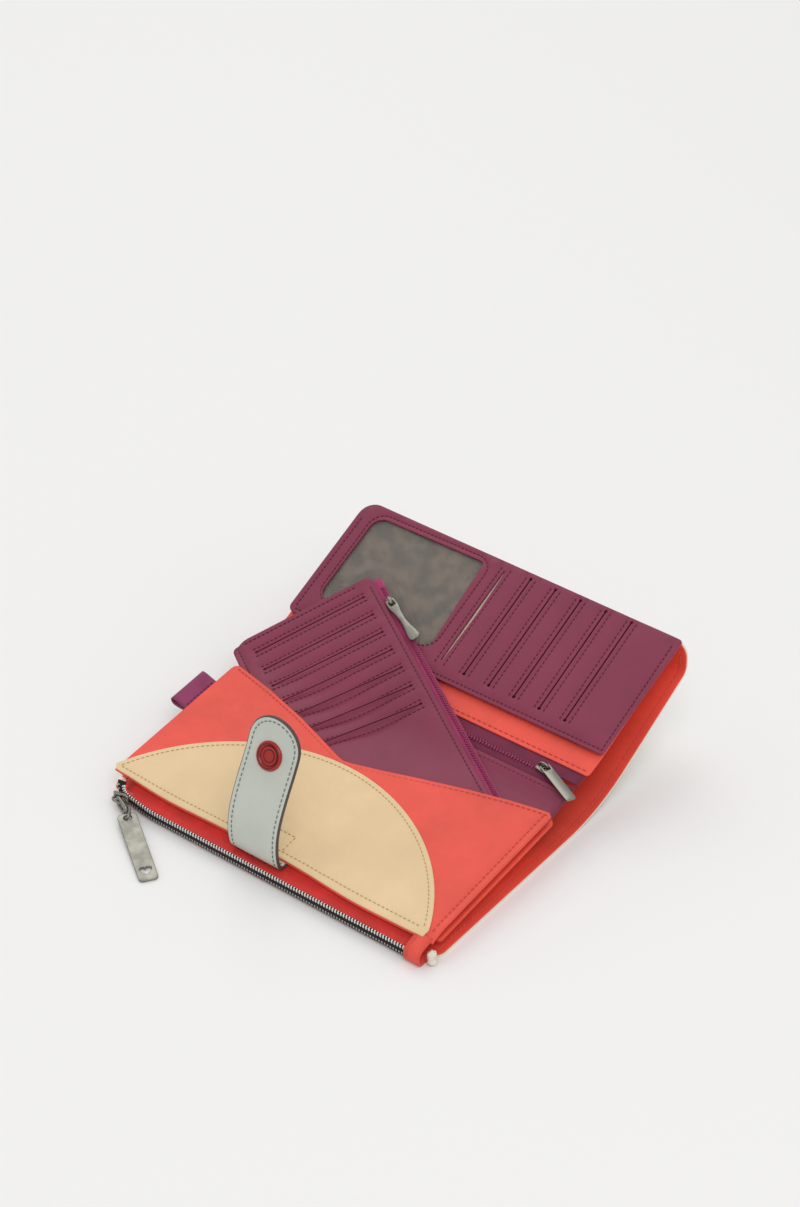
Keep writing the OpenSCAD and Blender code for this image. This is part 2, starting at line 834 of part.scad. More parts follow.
// Outline in plan of a rounded rectangle on the unrolled holder
function holder_outline(u0, v0, u1, v1, r) = concat(
    corner(u0 + r, v0 + r, r, 180),
    plan_line(flat_pt(u0 + r, v0), flat_pt(u1 - r, v0), 12),
    corner(u1 - r, v0 + r, r, 270),
    plan_line(flat_pt(u1, v0 + r), flat_pt(u1, v1 - r), 6),
    corner(u1 - r, v1 - r, r, 0),
    plan_line(flat_pt(u1 - r, v1), flat_pt(u0 + r, v1), 12),
    corner(u0 + r, v1 - r, r, 90),
    plan_line(flat_pt(u0, v1 - r), flat_pt(u0, v0 + r), 6));

module holder_prism(u0, v0, u1, v1, r) {
    linear_extrude(far) polygon(holder_outline(u0, v0, u1, v1, r));
}

module holder_sheet(d0, d1) {
    sheet(holder_path, -d0, -d1, -far / 2, far / 2);
}

// Narrow card slit in plan, with a punched hole at each end
module holder_slit(u) {
    a = flat_pt(u, holder_slot_in);
    b = flat_pt(u, holder_w - holder_slot_far);
    w = holder_along * slot_w / 2;
    linear_extrude(far)
        polygon(concat(plan_line(a - w, b - w, 4), [plan_pt(b - w)],
            plan_line(b + w, a + w, 4), [plan_pt(a + w)]));
    for (p = [a, b])
        translate(concat(plan_pt(p), [0])) cylinder(r = punch_r, h = far);
}

holder_slot_u0 = 7.5;
skin_t = 0.9;

module holder_front() {
    color(purple)
        difference() {
            intersection() {
                holder_sheet(0, skin_t);
                holder_prism(0, 0, holder_len, holder_w, 4);
            }
            for (i = [0:holder_slots - 1])
                holder_slit(holder_slot_u0 + i * holder_pitch);
        }
}

module holder_back() {
    color(purple)
        intersection() {
            holder_sheet(holder_t - skin_t, holder_t);
            holder_prism(0, 0, holder_len, holder_w, 4);
        }
}

module holder_slot_linings() {
    color(cream)
        intersection() {
            holder_sheet(skin_t + 0.1, skin_t + 0.5);
            holder_prism(holder_slot_u0 + 1, 5, holder_len - 6, holder_w - 4, 2);
        }
}

module holder_zip_tape() {
    color(zip_magenta)
        intersection() {
            holder_sheet(holder_t / 2 - 0.35, holder_t / 2 + 0.35);
            holder_prism(3, -holder_tape_w + 1.4, holder_len - 4, 3, 0.8);
        }
}

holder_coil_r = 1.1;

// The coil runs in straight stretches between points on the bent edge
function holder_z(y) = y >= bend_end.x ? bend_end.y + (y - bend_end.x) * tan(page_slope - 0.6)
    : y <= bend_y0 ? holder_low.y + (y - bend_y0) * tan(leaf_slope)
    : let (k = [for (i = [0:bend_n - 1]) if (bend_pt(i + 1).x >= y) i][0])
        bend_pt(k).y + (y - bend_pt(k).x) * (bend_pt(k + 1).y - bend_pt(k).y)
            / (bend_pt(k + 1).x - bend_pt(k).x);
function edge_pt(u) = let (p = plan_pt(flat_pt(u, -holder_tape_w + 0.4)))
    [p.x, p.y, holder_z(p.y) - holder_t / 2];

module holder_zip_coil() {
    color(zip_magenta)
        intersection() {
            holder_sheet(holder_t / 2 - holder_coil_r, holder_t / 2 + holder_coil_r);
            holder_prism(6, -holder_tape_w - 0.5, holder_len - 6, -holder_tape_w + 1.3, 0.8);
        }
}

holder_slider_u = 18.5;
// Turns X along the holder's upper zip edge and Z out of its face
module on_holder_edge(u) {
    p = edge_pt(u);
    q = edge_pt(u + 1);
    d = q - p;
    translate(p)
        rotate([0, 0, atan2(d.y, d.x)])
            rotate([0, -asin(d.z / norm(d)), 0])
                rotate([page_slope - 3, 0, 0])
                    children();
}

module holder_zip_slider() {
    color(steel)
        on_holder_edge(holder_slider_u)
            coil_slider(holder_coil_r, 3.8);
}

// Waisted bar, wide at both ends, with its eye round the slider's bridge
module holder_zip_puller() {
    l = holder_pull_len;
    color(steel)
        on_holder_edge(holder_slider_u)
            translate([0.8, 0, holder_coil_r + 2.2])
                rotate([0, 0, 5])
                    translate([0, 0, -0.45])
                        difference() {
                            linear_extrude(0.9)
                                polygon([[-1.5, -2.6], [3.8, -2.6], [l * 0.5, -1.2], [l * 0.8, -2.4], [l, -2.8],
                                    [l, 2.8], [l * 0.8, 2.4], [l * 0.5, 1.2], [3.8, 2.6], [-1.5, 2.6]]);
                            translate([-0.2, -1.5, -1]) cube([3.0, 3.0, 4]);
                        }
}

cover_front_shell();
cover_front_lining();
cover_spine_shell();
cover_spine_lining();
cover_flap_shell();
cover_flap_lining();
snap_stud();
main_zip_tape_upper();
main_zip_tape_lower();
main_zip_teeth_upper();
main_zip_teeth_lower();
zip_end_tab_left();
zip_end_tab_right();
main_zip_slider();
zip_bail();
zip_link();
zip_tag();
front_pocket();
half_round_patch();
pocket_back();
main_zip_bag();
coin_bag();
side_label();
strap_root();
strap_curl();
strap_lower();
strap_upper();
snap_cap();
snap_socket();
slots_panel();
window_film();
window_lining();
card_slot_linings();
page_backing();
coin_panel();
coin_zip_tape_near();
coin_zip_tape_far();
coin_zip_coil();
coin_zip_slider();
coin_zip_puller();
holder_front();
holder_back();
holder_slot_linings();
holder_zip_tape();
holder_zip_coil();
holder_zip_slider();
holder_zip_puller();
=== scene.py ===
import math

import bpy
import numpy as np
from mathutils import Matrix
from mathutils.geometry import delaunay_2d_cdt


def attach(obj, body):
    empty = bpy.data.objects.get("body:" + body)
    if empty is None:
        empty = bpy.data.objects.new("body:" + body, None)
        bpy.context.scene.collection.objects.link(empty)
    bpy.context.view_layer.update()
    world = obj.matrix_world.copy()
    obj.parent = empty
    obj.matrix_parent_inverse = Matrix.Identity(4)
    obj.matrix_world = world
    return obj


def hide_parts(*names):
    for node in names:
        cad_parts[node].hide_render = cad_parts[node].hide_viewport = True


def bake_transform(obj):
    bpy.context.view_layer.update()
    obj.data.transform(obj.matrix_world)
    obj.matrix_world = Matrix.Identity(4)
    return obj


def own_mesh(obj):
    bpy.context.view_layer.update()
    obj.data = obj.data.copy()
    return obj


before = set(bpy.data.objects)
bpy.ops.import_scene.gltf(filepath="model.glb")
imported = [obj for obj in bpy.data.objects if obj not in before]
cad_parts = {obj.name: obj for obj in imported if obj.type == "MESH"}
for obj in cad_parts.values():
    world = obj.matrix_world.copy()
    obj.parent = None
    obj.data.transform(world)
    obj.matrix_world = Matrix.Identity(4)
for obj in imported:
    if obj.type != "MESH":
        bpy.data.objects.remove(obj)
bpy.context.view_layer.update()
SC = bpy.context.scene


# Camera, floor and light; lengths in metres

def unit(v):
    return np.asarray(v, float) / np.linalg.norm(v)


def matrix(columns, place):
    m = Matrix.Identity(4)
    for i in range(3):
        for j in range(3):
            m[i][j] = columns[j][i]
        m[i][3] = place[i]
    return m


def linear(rgb):
    out = [c / 255.0 for c in rgb]
    out = [c / 12.92 if c <= 0.04045 else ((c + 0.055) / 1.055) ** 2.4 for c in out]
    return (*out, 1.0)


cam_data = bpy.data.cameras.new("camera")
cam_data.sensor_fit = "VERTICAL"
cam_data.sensor_height = 24.0
cam_data.lens = 49.71
cam_data.clip_end = 20
cam = bpy.data.objects.new("camera", cam_data)
SC.collection.objects.link(cam)
back = unit((0.4967, -0.6435, 0.5824))
right = unit((0.7916, 0.6110, 0.0))
cam.matrix_world = matrix((right, np.cross(back, right), back), (0.5763, -0.6487, 0.7703))
SC.camera = cam


def principled(name, rgb, rough=0.5, metallic=0.0):
    mat = bpy.data.materials.new(name)
    mat.use_nodes = True
    b = mat.node_tree.nodes["Principled BSDF"]
    b.inputs["Base Color"].default_value = linear(rgb)
    b.inputs["Roughness"].default_value = rough
    b.inputs["Metallic"].default_value = metallic
    return mat, mat.node_tree, b


floor_mat, _, floor_shader = principled("floor", (246, 246, 246), 0.75)
floor_shader.inputs["Specular IOR Level"].default_value = 0.15
floor_mesh = bpy.data.meshes.new("floor")
floor_mesh.from_pydata([(-6, -6, 0), (6, -6, 0), (6, 6, 0), (-6, 6, 0)], [], [(0, 1, 2, 3)])
floor_mesh.materials.append(floor_mat)
floor = bpy.data.objects.new("floor", floor_mesh)
SC.collection.objects.link(floor)

LIGHT = (1.0, 0.995, 0.985)
world = bpy.data.worlds.new("studio")
SC.world = world
world.use_nodes = True
world.node_tree.nodes["Background"].inputs["Color"].default_value = (*LIGHT, 1)
world.node_tree.nodes["Background"].inputs["Strength"].default_value = 0.64


def area(name, loc, target, size, power):
    d = bpy.data.lights.new(name, "AREA")
    d.shape = "RECTANGLE"
    d.size = d.size_y = size
    d.energy = power
    d.color = LIGHT
    o = bpy.data.objects.new(name, d)
    SC.collection.objects.link(o)
    z = unit(np.subtract(loc, target))
    x = unit(np.cross((0, 0, 1), z))
    o.matrix_world = matrix((x, np.cross(z, x), z), loc)


area("key", (1.1, -0.9, 2.3), (0, 0.1, 0), 1.8, 20.0)
area("fill", (-1.2, 1.1, 2.0), (0, 0.1, 0), 1.6, 11.0)
SC.view_settings.view_transform = "Standard"


# Materials

def shade(rgb, k):
    return linear(tuple(min(255, max(0, c * k)) for c in rgb))


def coords(nt):
    return nt.nodes.new("ShaderNodeTexCoord").outputs["Object"]


def noise(nt, co, scale, detail=3.0, rough=0.5):
    n = nt.nodes.new("ShaderNodeTexNoise")
    n.inputs["Scale"].default_value = scale
    n.inputs["Detail"].default_value = detail
    n.inputs["Roughness"].default_value = rough
    nt.links.new(co, n.inputs["Vector"])
    return n.outputs["Fac"]


def mottle(nt, b, fac, rgb, amount, low, high):
    """Varies the base colour by an amount, where a noise goes from low to high."""
    r = nt.nodes.new("ShaderNodeValToRGB")
    e = r.color_ramp.elements
    e[0].position, e[0].color = low, shade(rgb, 1 - amount)
    e[1].position, e[1].color = high, shade(rgb, 1 + amount)
    nt.links.new(fac, r.inputs["Fac"])
    nt.links.new(r.outputs["Color"], b.inputs["Base Color"])


def bump(nt, b, height, strength, dist, normal=None):
    n = nt.nodes.new("ShaderNodeBump")
    n.inputs["Strength"].default_value = strength
    n.inputs["Distance"].default_value = dist
    nt.links.new(height, n.inputs["Height"])
    if normal is not None:
        nt.links.new(normal, n.inputs["Normal"])
    nt.links.new(n.outputs["Normal"], b.inputs["Normal"])
    return n.outputs["Normal"]


def leather(name, rgb, rough, grain, depth, mottling):
    mat, nt, b = principled(name, rgb, rough)
    co = coords(nt)
    mottle(nt, b, noise(nt, co, 26.0, 4.0, 0.6), rgb, mottling, 0.3, 0.7)
    v = nt.nodes.new("ShaderNodeTexVoronoi")
    v.inputs["Scale"].default_value = grain
    nt.links.new(co, v.inputs["Vector"])
    n1 = bump(nt, b, v.outputs["Distance"], depth, 0.00018)
    bump(nt, b, noise(nt, co, 240.0, 3.0), depth * 0.35, 0.0003, n1)
    b.inputs["Specular IOR Level"].default_value = 0.35
    return mat


def cloth(name, rgb, weave=2600.0, mottling=0.07, spots=90.0):
    mat, nt, b = principled(name, rgb, 0.85)
    co = coords(nt)
    w = nt.nodes.new("ShaderNodeTexWave")
    w.inputs["Scale"].default_value = weave / 20
    w.inputs["Distortion"].default_value = 0.6
    w.bands_direction = "DIAGONAL"
    nt.links.new(co, w.inputs["Vector"])
    bump(nt, b, w.outputs["Fac"], 0.5, 0.0002)
    soft_by = 0.2 if mottling < 0.1 else 0.1
    mottle(nt, b, noise(nt, co, spots, 3.0), rgb, mottling, 0.5 - soft_by, 0.5 + soft_by)
    b.inputs["Sheen Weight"].default_value = 0.15
    return mat


def metal(name, rgb, rough=0.32, worn=0.0):
    mat, nt, b = principled(name, rgb, rough, 1.0)
    co = coords(nt)
    bump(nt, b, noise(nt, co, 700.0, 4.0), 0.12, 0.0002)
    if worn:
        mottle(nt, b, noise(nt, co, 130.0, 4.0, 0.6), rgb, worn, 0.36, 0.62)
    return mat


def plain(name, rgb, rough=0.7):
    return principled(name, rgb, rough)[0]


# each row: name, slot, colour, then the maker's own values
MATERIALS = {
    leather: (
        ("coral", "coral_leather", (234, 84, 70), 0.5, 1500, 0.2, 0.06),
        ("coral_lining", "coral_lining", (236, 80, 62), 0.6, 2000, 0.12, 0.05),
        ("cream", "cream_leather", (236, 227, 214), 0.5, 900, 0.3, 0.03),
        ("beige", "beige_leather", (230, 202, 159), 0.58, 1300, 0.3, 0.03),
        ("purple", "purple_leather", (132, 50, 76), 0.46, 1100, 0.2, 0.045),
        ("strap", "strap_leather", (198, 202, 192), 0.45, 1600, 0.16, 0.03),
        ("dark_edge", "strap_leather", (84, 74, 72), 0.5, 1500, 0.2, 0.1),
        ("purple_edge", "purple_leather", (104, 44, 68), 0.5, 1500, 0.2, 0.1)),
    cloth: (
        ("cream_lining", "cream_lining", (228, 218, 198)),
        ("brown_lining", "brown_lining", (74, 62, 50), 2600.0, 0.3, 110.0),
        ("red_tape", "red_tape", (206, 44, 38), 3600),
        ("magenta_tape", "magenta_tape", (112, 30, 62), 3600),
        ("holder_tape", "magenta_tape", (160, 52, 98), 3600),
        ("label", "purple_leather", (142, 56, 98), 3600)),
    metal: (
        ("zip_metal", "zip_metal", (146, 144, 135), 0.3),
        ("tag_metal", "zip_metal", (152, 151, 141), 0.4, 0.1),
        # teeth is a lit copy of the zip metal (painted highlight on the upper row of teeth), teeth_low a
        # shaded copy (painted shade on the lower row)
        ("teeth", "zip_metal", (224, 224, 220), 0.32),
        ("teeth_low", "zip_metal", (178, 178, 174), 0.34),
        ("steel", "snap_steel", (176, 176, 170), 0.35)),
    plain: (
        ("magenta_coil", "magenta_coil", (150, 52, 94), 0.36),
        # near-black painted shade: the zip's middle and lower bead, and the sheets under the card slots
        ("dark", "cream_lining", (26, 14, 19), 0.9),
        ("snap_red", "snap_paint", (166, 26, 22), 0.3),
        # the darker snap red is painted shade along the cap's embossed rings
        ("snap_dark", "snap_paint", (78, 8, 8), 0.4),
        ("thread_red", "coral_leather", (206, 84, 72)),
        ("thread_beige", "beige_leather", (188, 160, 116)),
        ("thread_purple", "purple_leather", (98, 24, 52)),
        ("thread_grey", "strap_leather", (108, 118, 118)),
        ("thread_cream", "cream_leather", (232, 224, 210))),
}
M, SLOTS = {}, {}
for maker, rows in MATERIALS.items():
    for name, slot, *values in rows:
        M[name] = maker(name, *values)
        SLOTS[name] = slot
M["film"], _, film_shader = principled("film", (214, 208, 200), 0.16)
film_shader.inputs["Alpha"].default_value = 0.1
film_shader.inputs["Specular IOR Level"].default_value = 0.6
SLOTS["film"] = "clear_film"


# Mesh helpers; lengths in millimetres

def make(name, verts, faces, mat, smooth=True, body=None, nodes=(), slot=None):
    me = bpy.data.meshes.new(name)
    verts = [tuple(float(c) / 1000.0 for c in v) for v in verts]
    me.from_pydata(verts, [], [tuple(int(i) for i in f) for f in faces])
    me.materials.append(M[mat])
    me.validate()
    if smooth:
        me.polygons.foreach_set("use_smooth", [True] * len(me.polygons))
    o = bpy.data.objects.new(name, me)
    SC.collection.objects.link(o)
    if nodes:
        nodes = (nodes,) if isinstance(nodes, str) else nodes
        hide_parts(*nodes)
    slot or SLOTS[mat]
    if body:
        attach(o, body)
    return o


def placed(V, R, c):
    return np.asarray(V) @ R.T + np.asarray(c)


class Bag:
    """Collects pieces of mesh into one object."""

    def __init__(self):
        self.v = []
        self.f = []
        self.n = 0

    def add(self, verts, faces):
        verts = np.asarray(verts, float)
        self.v.append(verts)
        self.f.extend([tuple(int(i) + self.n for i in f) for f in faces])
        self.n += len(verts)

    def move(self, R, c):
        self.v = [placed(v, R, c) for v in self.v]

    def make(self, name, mat, **kw):
        return make(name, np.concatenate(self.v), self.f, mat, **kw)


def turn(ax, deg):
    a = math.radians(deg)
    c, s = math.cos(a), math.sin(a)
    return np.array({"x": [[1, 0, 0], [0, c, -s], [0, s, c]], "y": [[c, 0, s], [0, 1, 0], [-s, 0, c]],
                     "z": [[c, -s, 0], [s, c, 0], [0, 0, 1]]}[ax])


def direction(deg):
    return np.array([math.cos(math.radians(deg)), math.sin(math.radians(deg))])


def unit_rows(A):
    return A / np.maximum(np.linalg.norm(A, axis=1), 1e-9)[:, None]


def tangents(P):
    return unit_rows(np.gradient(P, axis=0))


def normals(P):
    T = tangents(P)
    return np.stack([-T[:, 1], T[:, 0]], 1)


def lengths(P):
    """The distance along a path at each of its points."""
    return np.concatenate([[0], np.cumsum(np.linalg.norm(np.diff(P, axis=0), axis=1))])


def resample(P, step, closed=True):
    P = np.asarray(P, float)
    out = []
    n = len(P)
    for i in range(n if closed else n - 1):
        a, b = P[i], P[(i + 1) % n]
        k = max(1, int(math.ceil(np.linalg.norm(b - a) / step)))
        for j in range(k):
            out.append(a + (b - a) * j / k)
    if not closed:
        out.append(P[-1])
    return np.array(out)


def relaxed(P, times):
    """Smooths an open path; its ends stay."""
    for _ in range(times):
        P[1:-1] = (P[:-2] + 2 * P[1:-1] + P[2:]) / 4
    return P


def ccw(P):
    x, y = P[:, 0], P[:, 1]
    s = np.sum(x * np.roll(y, -1) - y * np.roll(x, -1))
    return P if s > 0 else P[::-1]


def grow(P, d):
    """Moves a counter-clockwise loop outwards by d."""
    sides = (unit_rows(P - np.roll(P, 1, 0)), unit_rows(np.roll(P, -1, 0) - P))
    na, nb = (np.stack([v[:, 1], -v[:, 0]], 1) for v in sides)
    n = unit_rows(na + nb)
    k = 1.0 / np.clip(np.sum(n * nb, 1), 0.6, 1)
    return P + n * (d * k)[:, None]


def beside(L, d):
    return np.asarray(L, float) + normals(np.asarray(L, float)) * d


def inside(P, q):
    x, y = q[:, 0], q[:, 1]
    res = np.zeros(len(q), bool)
    for (xi, yi), (xj, yj) in zip(P, np.roll(P, 1, 0)):
        if abs(yj - yi) > 1e-12:
            res ^= ((yi > y) != (yj > y)) & (x < (xj - xi) * (y - yi) / (yj - yi) + xi)
    return res


def near(q, L):
    """Distance of each point of q to the polyline L."""
    best = np.full(len(q), 1e9)
    for a, b in zip(L[:-1], L[1:]):
        d = b - a
        t = np.clip(((q - a) @ d) / max(float(d @ d), 1e-12), 0, 1)
        best = np.minimum(best, np.linalg.norm(q - (a + t[:, None] * d), axis=1))
    return best


def arc(c, r, a0, a1, n):
    a = np.radians(np.linspace(a0, a1, n + 1))
    return np.stack([c[0] + r * np.cos(a), c[1] + r * np.sin(a)], 1)


def rrect(x0, y0, x1, y1, r, n=6):
    """A rectangle with rounded corners: near right, far right, far left, near left."""
    r = r if isinstance(r, tuple) else (r, r, r, r)
    centres = ((x1 - r[0], y0 + r[0]), (x1 - r[1], y1 - r[1]), (x0 + r[2], y1 - r[2]), (x0 + r[3], y0 + r[3]))
    return np.concatenate([arc(c, r[i], 90 * i - 90, 90 * i, n) for i, c in enumerate(centres)])


def flat(P, z):
    return np.column_stack([P, np.full(len(P), z)])


def skinned(rings, flip=False, caps=True, closed=False):
    """Joins rings of equally many points into one skin, with caps or as a closed loop."""
    n, rows = len(rings[0]), len(rings)
    F = []
    for row in range(rows if closed else rows - 1):
        a, b = row * n, (row + 1) % rows * n
        F += [(a + i, a + (i + 1) % n, b + (i + 1) % n, b + i) for i in range(n)]
    if caps and not closed:
        F += [tuple(range(n))[::-1], tuple(range((rows - 1) * n, rows * n))]
    if flip:
        F = [f[::-1] for f in F]
    return np.concatenate(rings), F


def along(path, start=0.0):
    """Gives a function that places points by X, length along a Y-Z path, and distance to its left."""
    s_all = lengths(path) + start
    T = tangents(path)

    def at(x, s, q):
        y, z, ty, tz = (np.interp(s, s_all, c) for c in (*path.T, *T.T))
        n = np.hypot(ty, tz)
        return np.stack([x, y - tz / n * q, z + ty / n * q], 1)
    return at


def sunk(mapping, drop):
    return lambda x, y, d: mapping(x, y, d + drop)


def plate(name, outline, mapping, t, mat, holes=(), r=0.4, step=3.0, edge=1.4, lines=(), relief=None,
          under=None, cut=None, **kw):
    """A sheet with rounded edges; mapping(x, y, depth) places points at a depth below its face."""
    outline = resample(ccw(np.asarray(outline, float)), edge)
    holes = [ccw(np.asarray(h, float)) for h in holes]
    hole_r = min(r, 0.3)
    top = grow(outline, -r)
    htop = [grow(h, hole_r) for h in holes]
    lo, hi = top.min(0), top.max(0)
    g = []
    y = lo[1] + step * 0.4
    while y < hi[1]:
        xs = np.arange(lo[0] + (step / 2 if len(g) % 2 else 0), hi[0], step)
        g.append(np.stack([xs, np.full(len(xs), y)], 1))
        y += step * 0.866
    g = np.concatenate(g) if g else np.zeros((0, 2))
    extra = [resample(np.asarray(L, float), 1.6, False) for L in lines]
    for L in extra:
        g = g[near(g, L) > step * 0.45]
    g = np.concatenate([g] + extra)
    g = g[inside(top, g)]
    loops = [top] + htop
    for L in loops:
        g = g[near(g, np.vstack([L, L[:1]])) > min(step * 0.4, 1.0)]
    for h in htop:
        g = g[~inside(h, g)]
    edges, spans = [], []
    base = 0
    for L in loops:
        spans.append((base, len(L)))
        edges += [(base + i, base + (i + 1) % len(L)) for i in range(len(L))]
        base += len(L)
    res = delaunay_2d_cdt([tuple(p) for p in np.concatenate(loops + [g])], edges, [], 0, 1e-6)
    V = np.array([tuple(v) for v in res[0]])
    where = {s: i for i, sources in enumerate(res[3]) for s in sources}
    F = np.array(res[2])
    centres = V[F].mean(1)
    ok = inside(top, centres)
    for h in htop:
        ok &= ~inside(h, centres)
    F = F[ok]
    a, b, c = V[F[:, 0]], V[F[:, 1]], V[F[:, 2]]
    flip = ((b - a)[:, 0] * (c - a)[:, 1] - (b - a)[:, 1] * (c - a)[:, 0]) < 0
    F[flip] = F[flip][:, ::-1]
    n = len(V)
    rel = relief(V) if relief else np.zeros(n)
    lift = under(V) if under else np.zeros(n)
    verts = [mapping(V[:, 0], V[:, 1], -rel), mapping(V[:, 0], V[:, 1], t - lift)]
    faces = [tuple(f) for f in F] + [tuple(i + n for i in f[::-1]) for f in F]
    total = 2 * n
    for k, (first, count) in enumerate(spans):
        loop, sign, rr = (outline, -1, r) if k == 0 else (holes[k - 1], 1, hole_r)
        rr = min(rr, t / 2)
        ids = [[where[first + i] for i in range(count)]]
        edge_rel = rel[ids[0]]
        for ang in (30, 60, 90, -90, -60, -30):
            if t - 2 * rr < 1e-6 and ang == -90:
                continue
            c, s = direction(abs(ang))
            d = rr * (1 - c) if ang > 0 else t - rr * (1 - c)
            Q = grow(loop, sign * rr * (1 - s))
            verts.append(mapping(Q[:, 0], Q[:, 1], np.full(count, d) - (edge_rel if ang > 0 else 0)))
            ids.append([total + i for i in range(count)])
            total += count
        ids.append([i + n for i in ids[0]])
        for A, B in zip(ids[:-1], ids[1:]):
            for i in range(count):
                j = (i + 1) % count
                q = (A[i], B[i], B[j], A[j])
                faces.append(q if k == 0 else q[::-1])
    verts = np.concatenate(verts)
    if cut is None:
        return make(name, verts, faces, mat, **kw)
    out = []
    side = [bool(cut(verts[list(f)].mean(0))) for f in faces]
    for tag, wanted in (("_a", False), ("_b", True)):
        part = [f for f, s in zip(faces, side) if s == wanted]
        used = sorted({i for f in part for i in f})
        new = {i: j for j, i in enumerate(used)}
        out.append(make(name + tag, verts[used], [tuple(new[i] for i in f) for f in part], mat, **kw))
    return out


def capsule(L, r, sides=8):
    """One stitch: a rod along X with pointed ends."""
    prof = [(-0.38 * L, 0.75 * r), (-L / 4, r), (L / 4, r), (0.38 * L, 0.75 * r)]
    circle = arc((0, 0), 1, 0, 360 - 360 / sides, sides - 1)
    V, F = skinned([np.column_stack([np.full(sides, x), circle * rad]) for x, rad in prof], caps=False)
    pole = len(V)
    F += [(pole, (k + 1) % sides, k) for k in range(sides)]
    F += [(pole + 1, pole - sides + k, pole - sides + (k + 1) % sides) for k in range(sides)]
    return np.vstack([V, [(-L / 2, 0, 0), (L / 2, 0, 0)]]), F


def stitches(name, lines, mapping, mat, pitch=3.2, length=2.5, r=0.32, lift=0.12, **kw):
    bag = Bag()
    V, F = capsule(length, r)
    V[:, 2] -= 0.35 * r * (2 * V[:, 0] / length) ** 2

    def place(q, d):
        return mapping(np.array([q[0]]), np.array([q[1]]), np.array([d]))[0]

    for L in lines:
        L = np.asarray(L, float)
        s = lengths(L)
        count = max(1, int(s[-1] / pitch))
        for p in (np.arange(count) + 0.5) * s[-1] / count:
            a, c, b = ([np.interp(q, s, L[:, 0]), np.interp(q, s, L[:, 1])] for q in (p - 0.4, p, p + 0.4))
            x = unit(place(b, 0.0) - place(a, 0.0))
            z = place(c, -1.0) - place(c, 0.0)
            z = unit(z - x * (x @ z))
            bag.add(place(c, -lift) + V @ np.stack([x, np.cross(z, x), z]), F)
    return bag.make(name, mat, **kw)


FINE = {"pitch": 2.4, "length": 1.8, "r": 0.24}


def groove(lines, depth=0.28, width=0.75, puff=0.0, reach=4.0):
    """The leather dips along its seams, and may puff up between them."""
    lines = [np.asarray(L, float) for L in lines]

    def relief(V):
        d = np.min([near(V, L) for L in lines], axis=0)
        return -depth * np.exp(-(d / width) ** 2) + puff * (1 - np.exp(-d / reach))
    return relief


def gape(slots, middle, spread, rise, width, first=1.0):
    """The leather bows up a little beside the card slots, most at half their length."""
    def relief(V):
        x, v = V[:, 0], V[:, 1]
        bumps = [np.exp(-((x - u - 0.6) / width) ** 2) for u in slots]
        bumps[0] = first * bumps[0]
        return rise * np.exp(-((v - middle) / spread) ** 2) * sum(bumps)
    return relief


def both(*fs):
    return lambda V: sum(f(V) for f in fs)


def lanes(*lines):
    """Each line with a neighbour at either side, so that the groove has points."""
    out = []
    for L in lines:
        L = resample(L, 2.5, False)
        out += [L, beside(L, 1.0), beside(L, -1.0)]
    return out


def tube(path, r, sides=12, closed=False):
    P = np.asarray(path, float)
    T = unit_rows(np.roll(P, -1, 0) - np.roll(P, 1, 0)) if closed else tangents(P)
    a = 2 * math.pi * np.arange(sides)[:, None] / sides
    rings = []
    u = np.cross(T[0], (0.31, 0.17, 0.93))
    for p, t in zip(P, T):
        u = unit(u - t * (u @ t))
        rings.append(p + r * (np.cos(a) * u + np.sin(a) * np.cross(t, u)))
    return skinned(rings, closed=closed)


def lathe(prof, sides=40):
    circle = arc((0, 0), 1, 0, 360 - 360 / sides, sides - 1)
    return skinned([flat(circle * r, z) for r, z in prof])


def ribbon(path, x0, x1, t, mat, name, body, nodes):
    """A tape that follows a Y-Z path along X."""
    P = relaxed(resample(np.asarray(path, float), 0.7, False), 2)
    N = normals(P) * t / 2
    ring = np.concatenate([P + N, (P - N)[::-1]])
    xs = np.arange(x0, x1 + 1e-6, (x1 - x0) / max(2, int((x1 - x0) / 4)))
    V, F = skinned([np.column_stack([np.full(len(ring), x), ring]) for x in xs], flip=True)
    return make(name, V, F, mat, body=body, nodes=nodes)


# The cover's path, as the side view shows it: flat, then a wide bend, the slope and the upturned lip

SLOPE, LIP_TILT = 28.5, 93.6
BEND_R, LIP_R = 98, 7
COVER_T = 2.0
fd, ld = direction(SLOPE), direction(LIP_TILT)
rise_end = np.array([100 + BEND_R * fd[1], BEND_R * (1 - fd[0])])
lip_end = np.array([197.4, 60.7])
to_lip = lip_end - rise_end
lip_corner = rise_end + fd * (to_lip[0] * ld[1] - to_lip[1] * ld[0]) / (fd[0] * ld[1] - fd[1] * ld[0])
lip_cut = LIP_R * math.tan(math.radians((LIP_TILT - SLOPE) / 2))
lip_c = lip_corner - fd * lip_cut + np.array([-fd[1], fd[0]]) * LIP_R
cover_path = np.concatenate([[[-3.0, 0.0], [60, 0], [98, 0]],
                             arc((100, BEND_R), BEND_R, -90, -90 + SLOPE, 24),
                             arc(lip_c, LIP_R, SLOPE - 90, LIP_TILT - 90, 12), [lip_end]])
cover_at = along(cover_path, -3.0)


def skin_at(x, s, d):
    """The outside face looks down, so X is mirrored."""
    return cover_at(-x, s, d)


def lining_at(x, s, d):
    return cover_at(x, s, COVER_T - d)


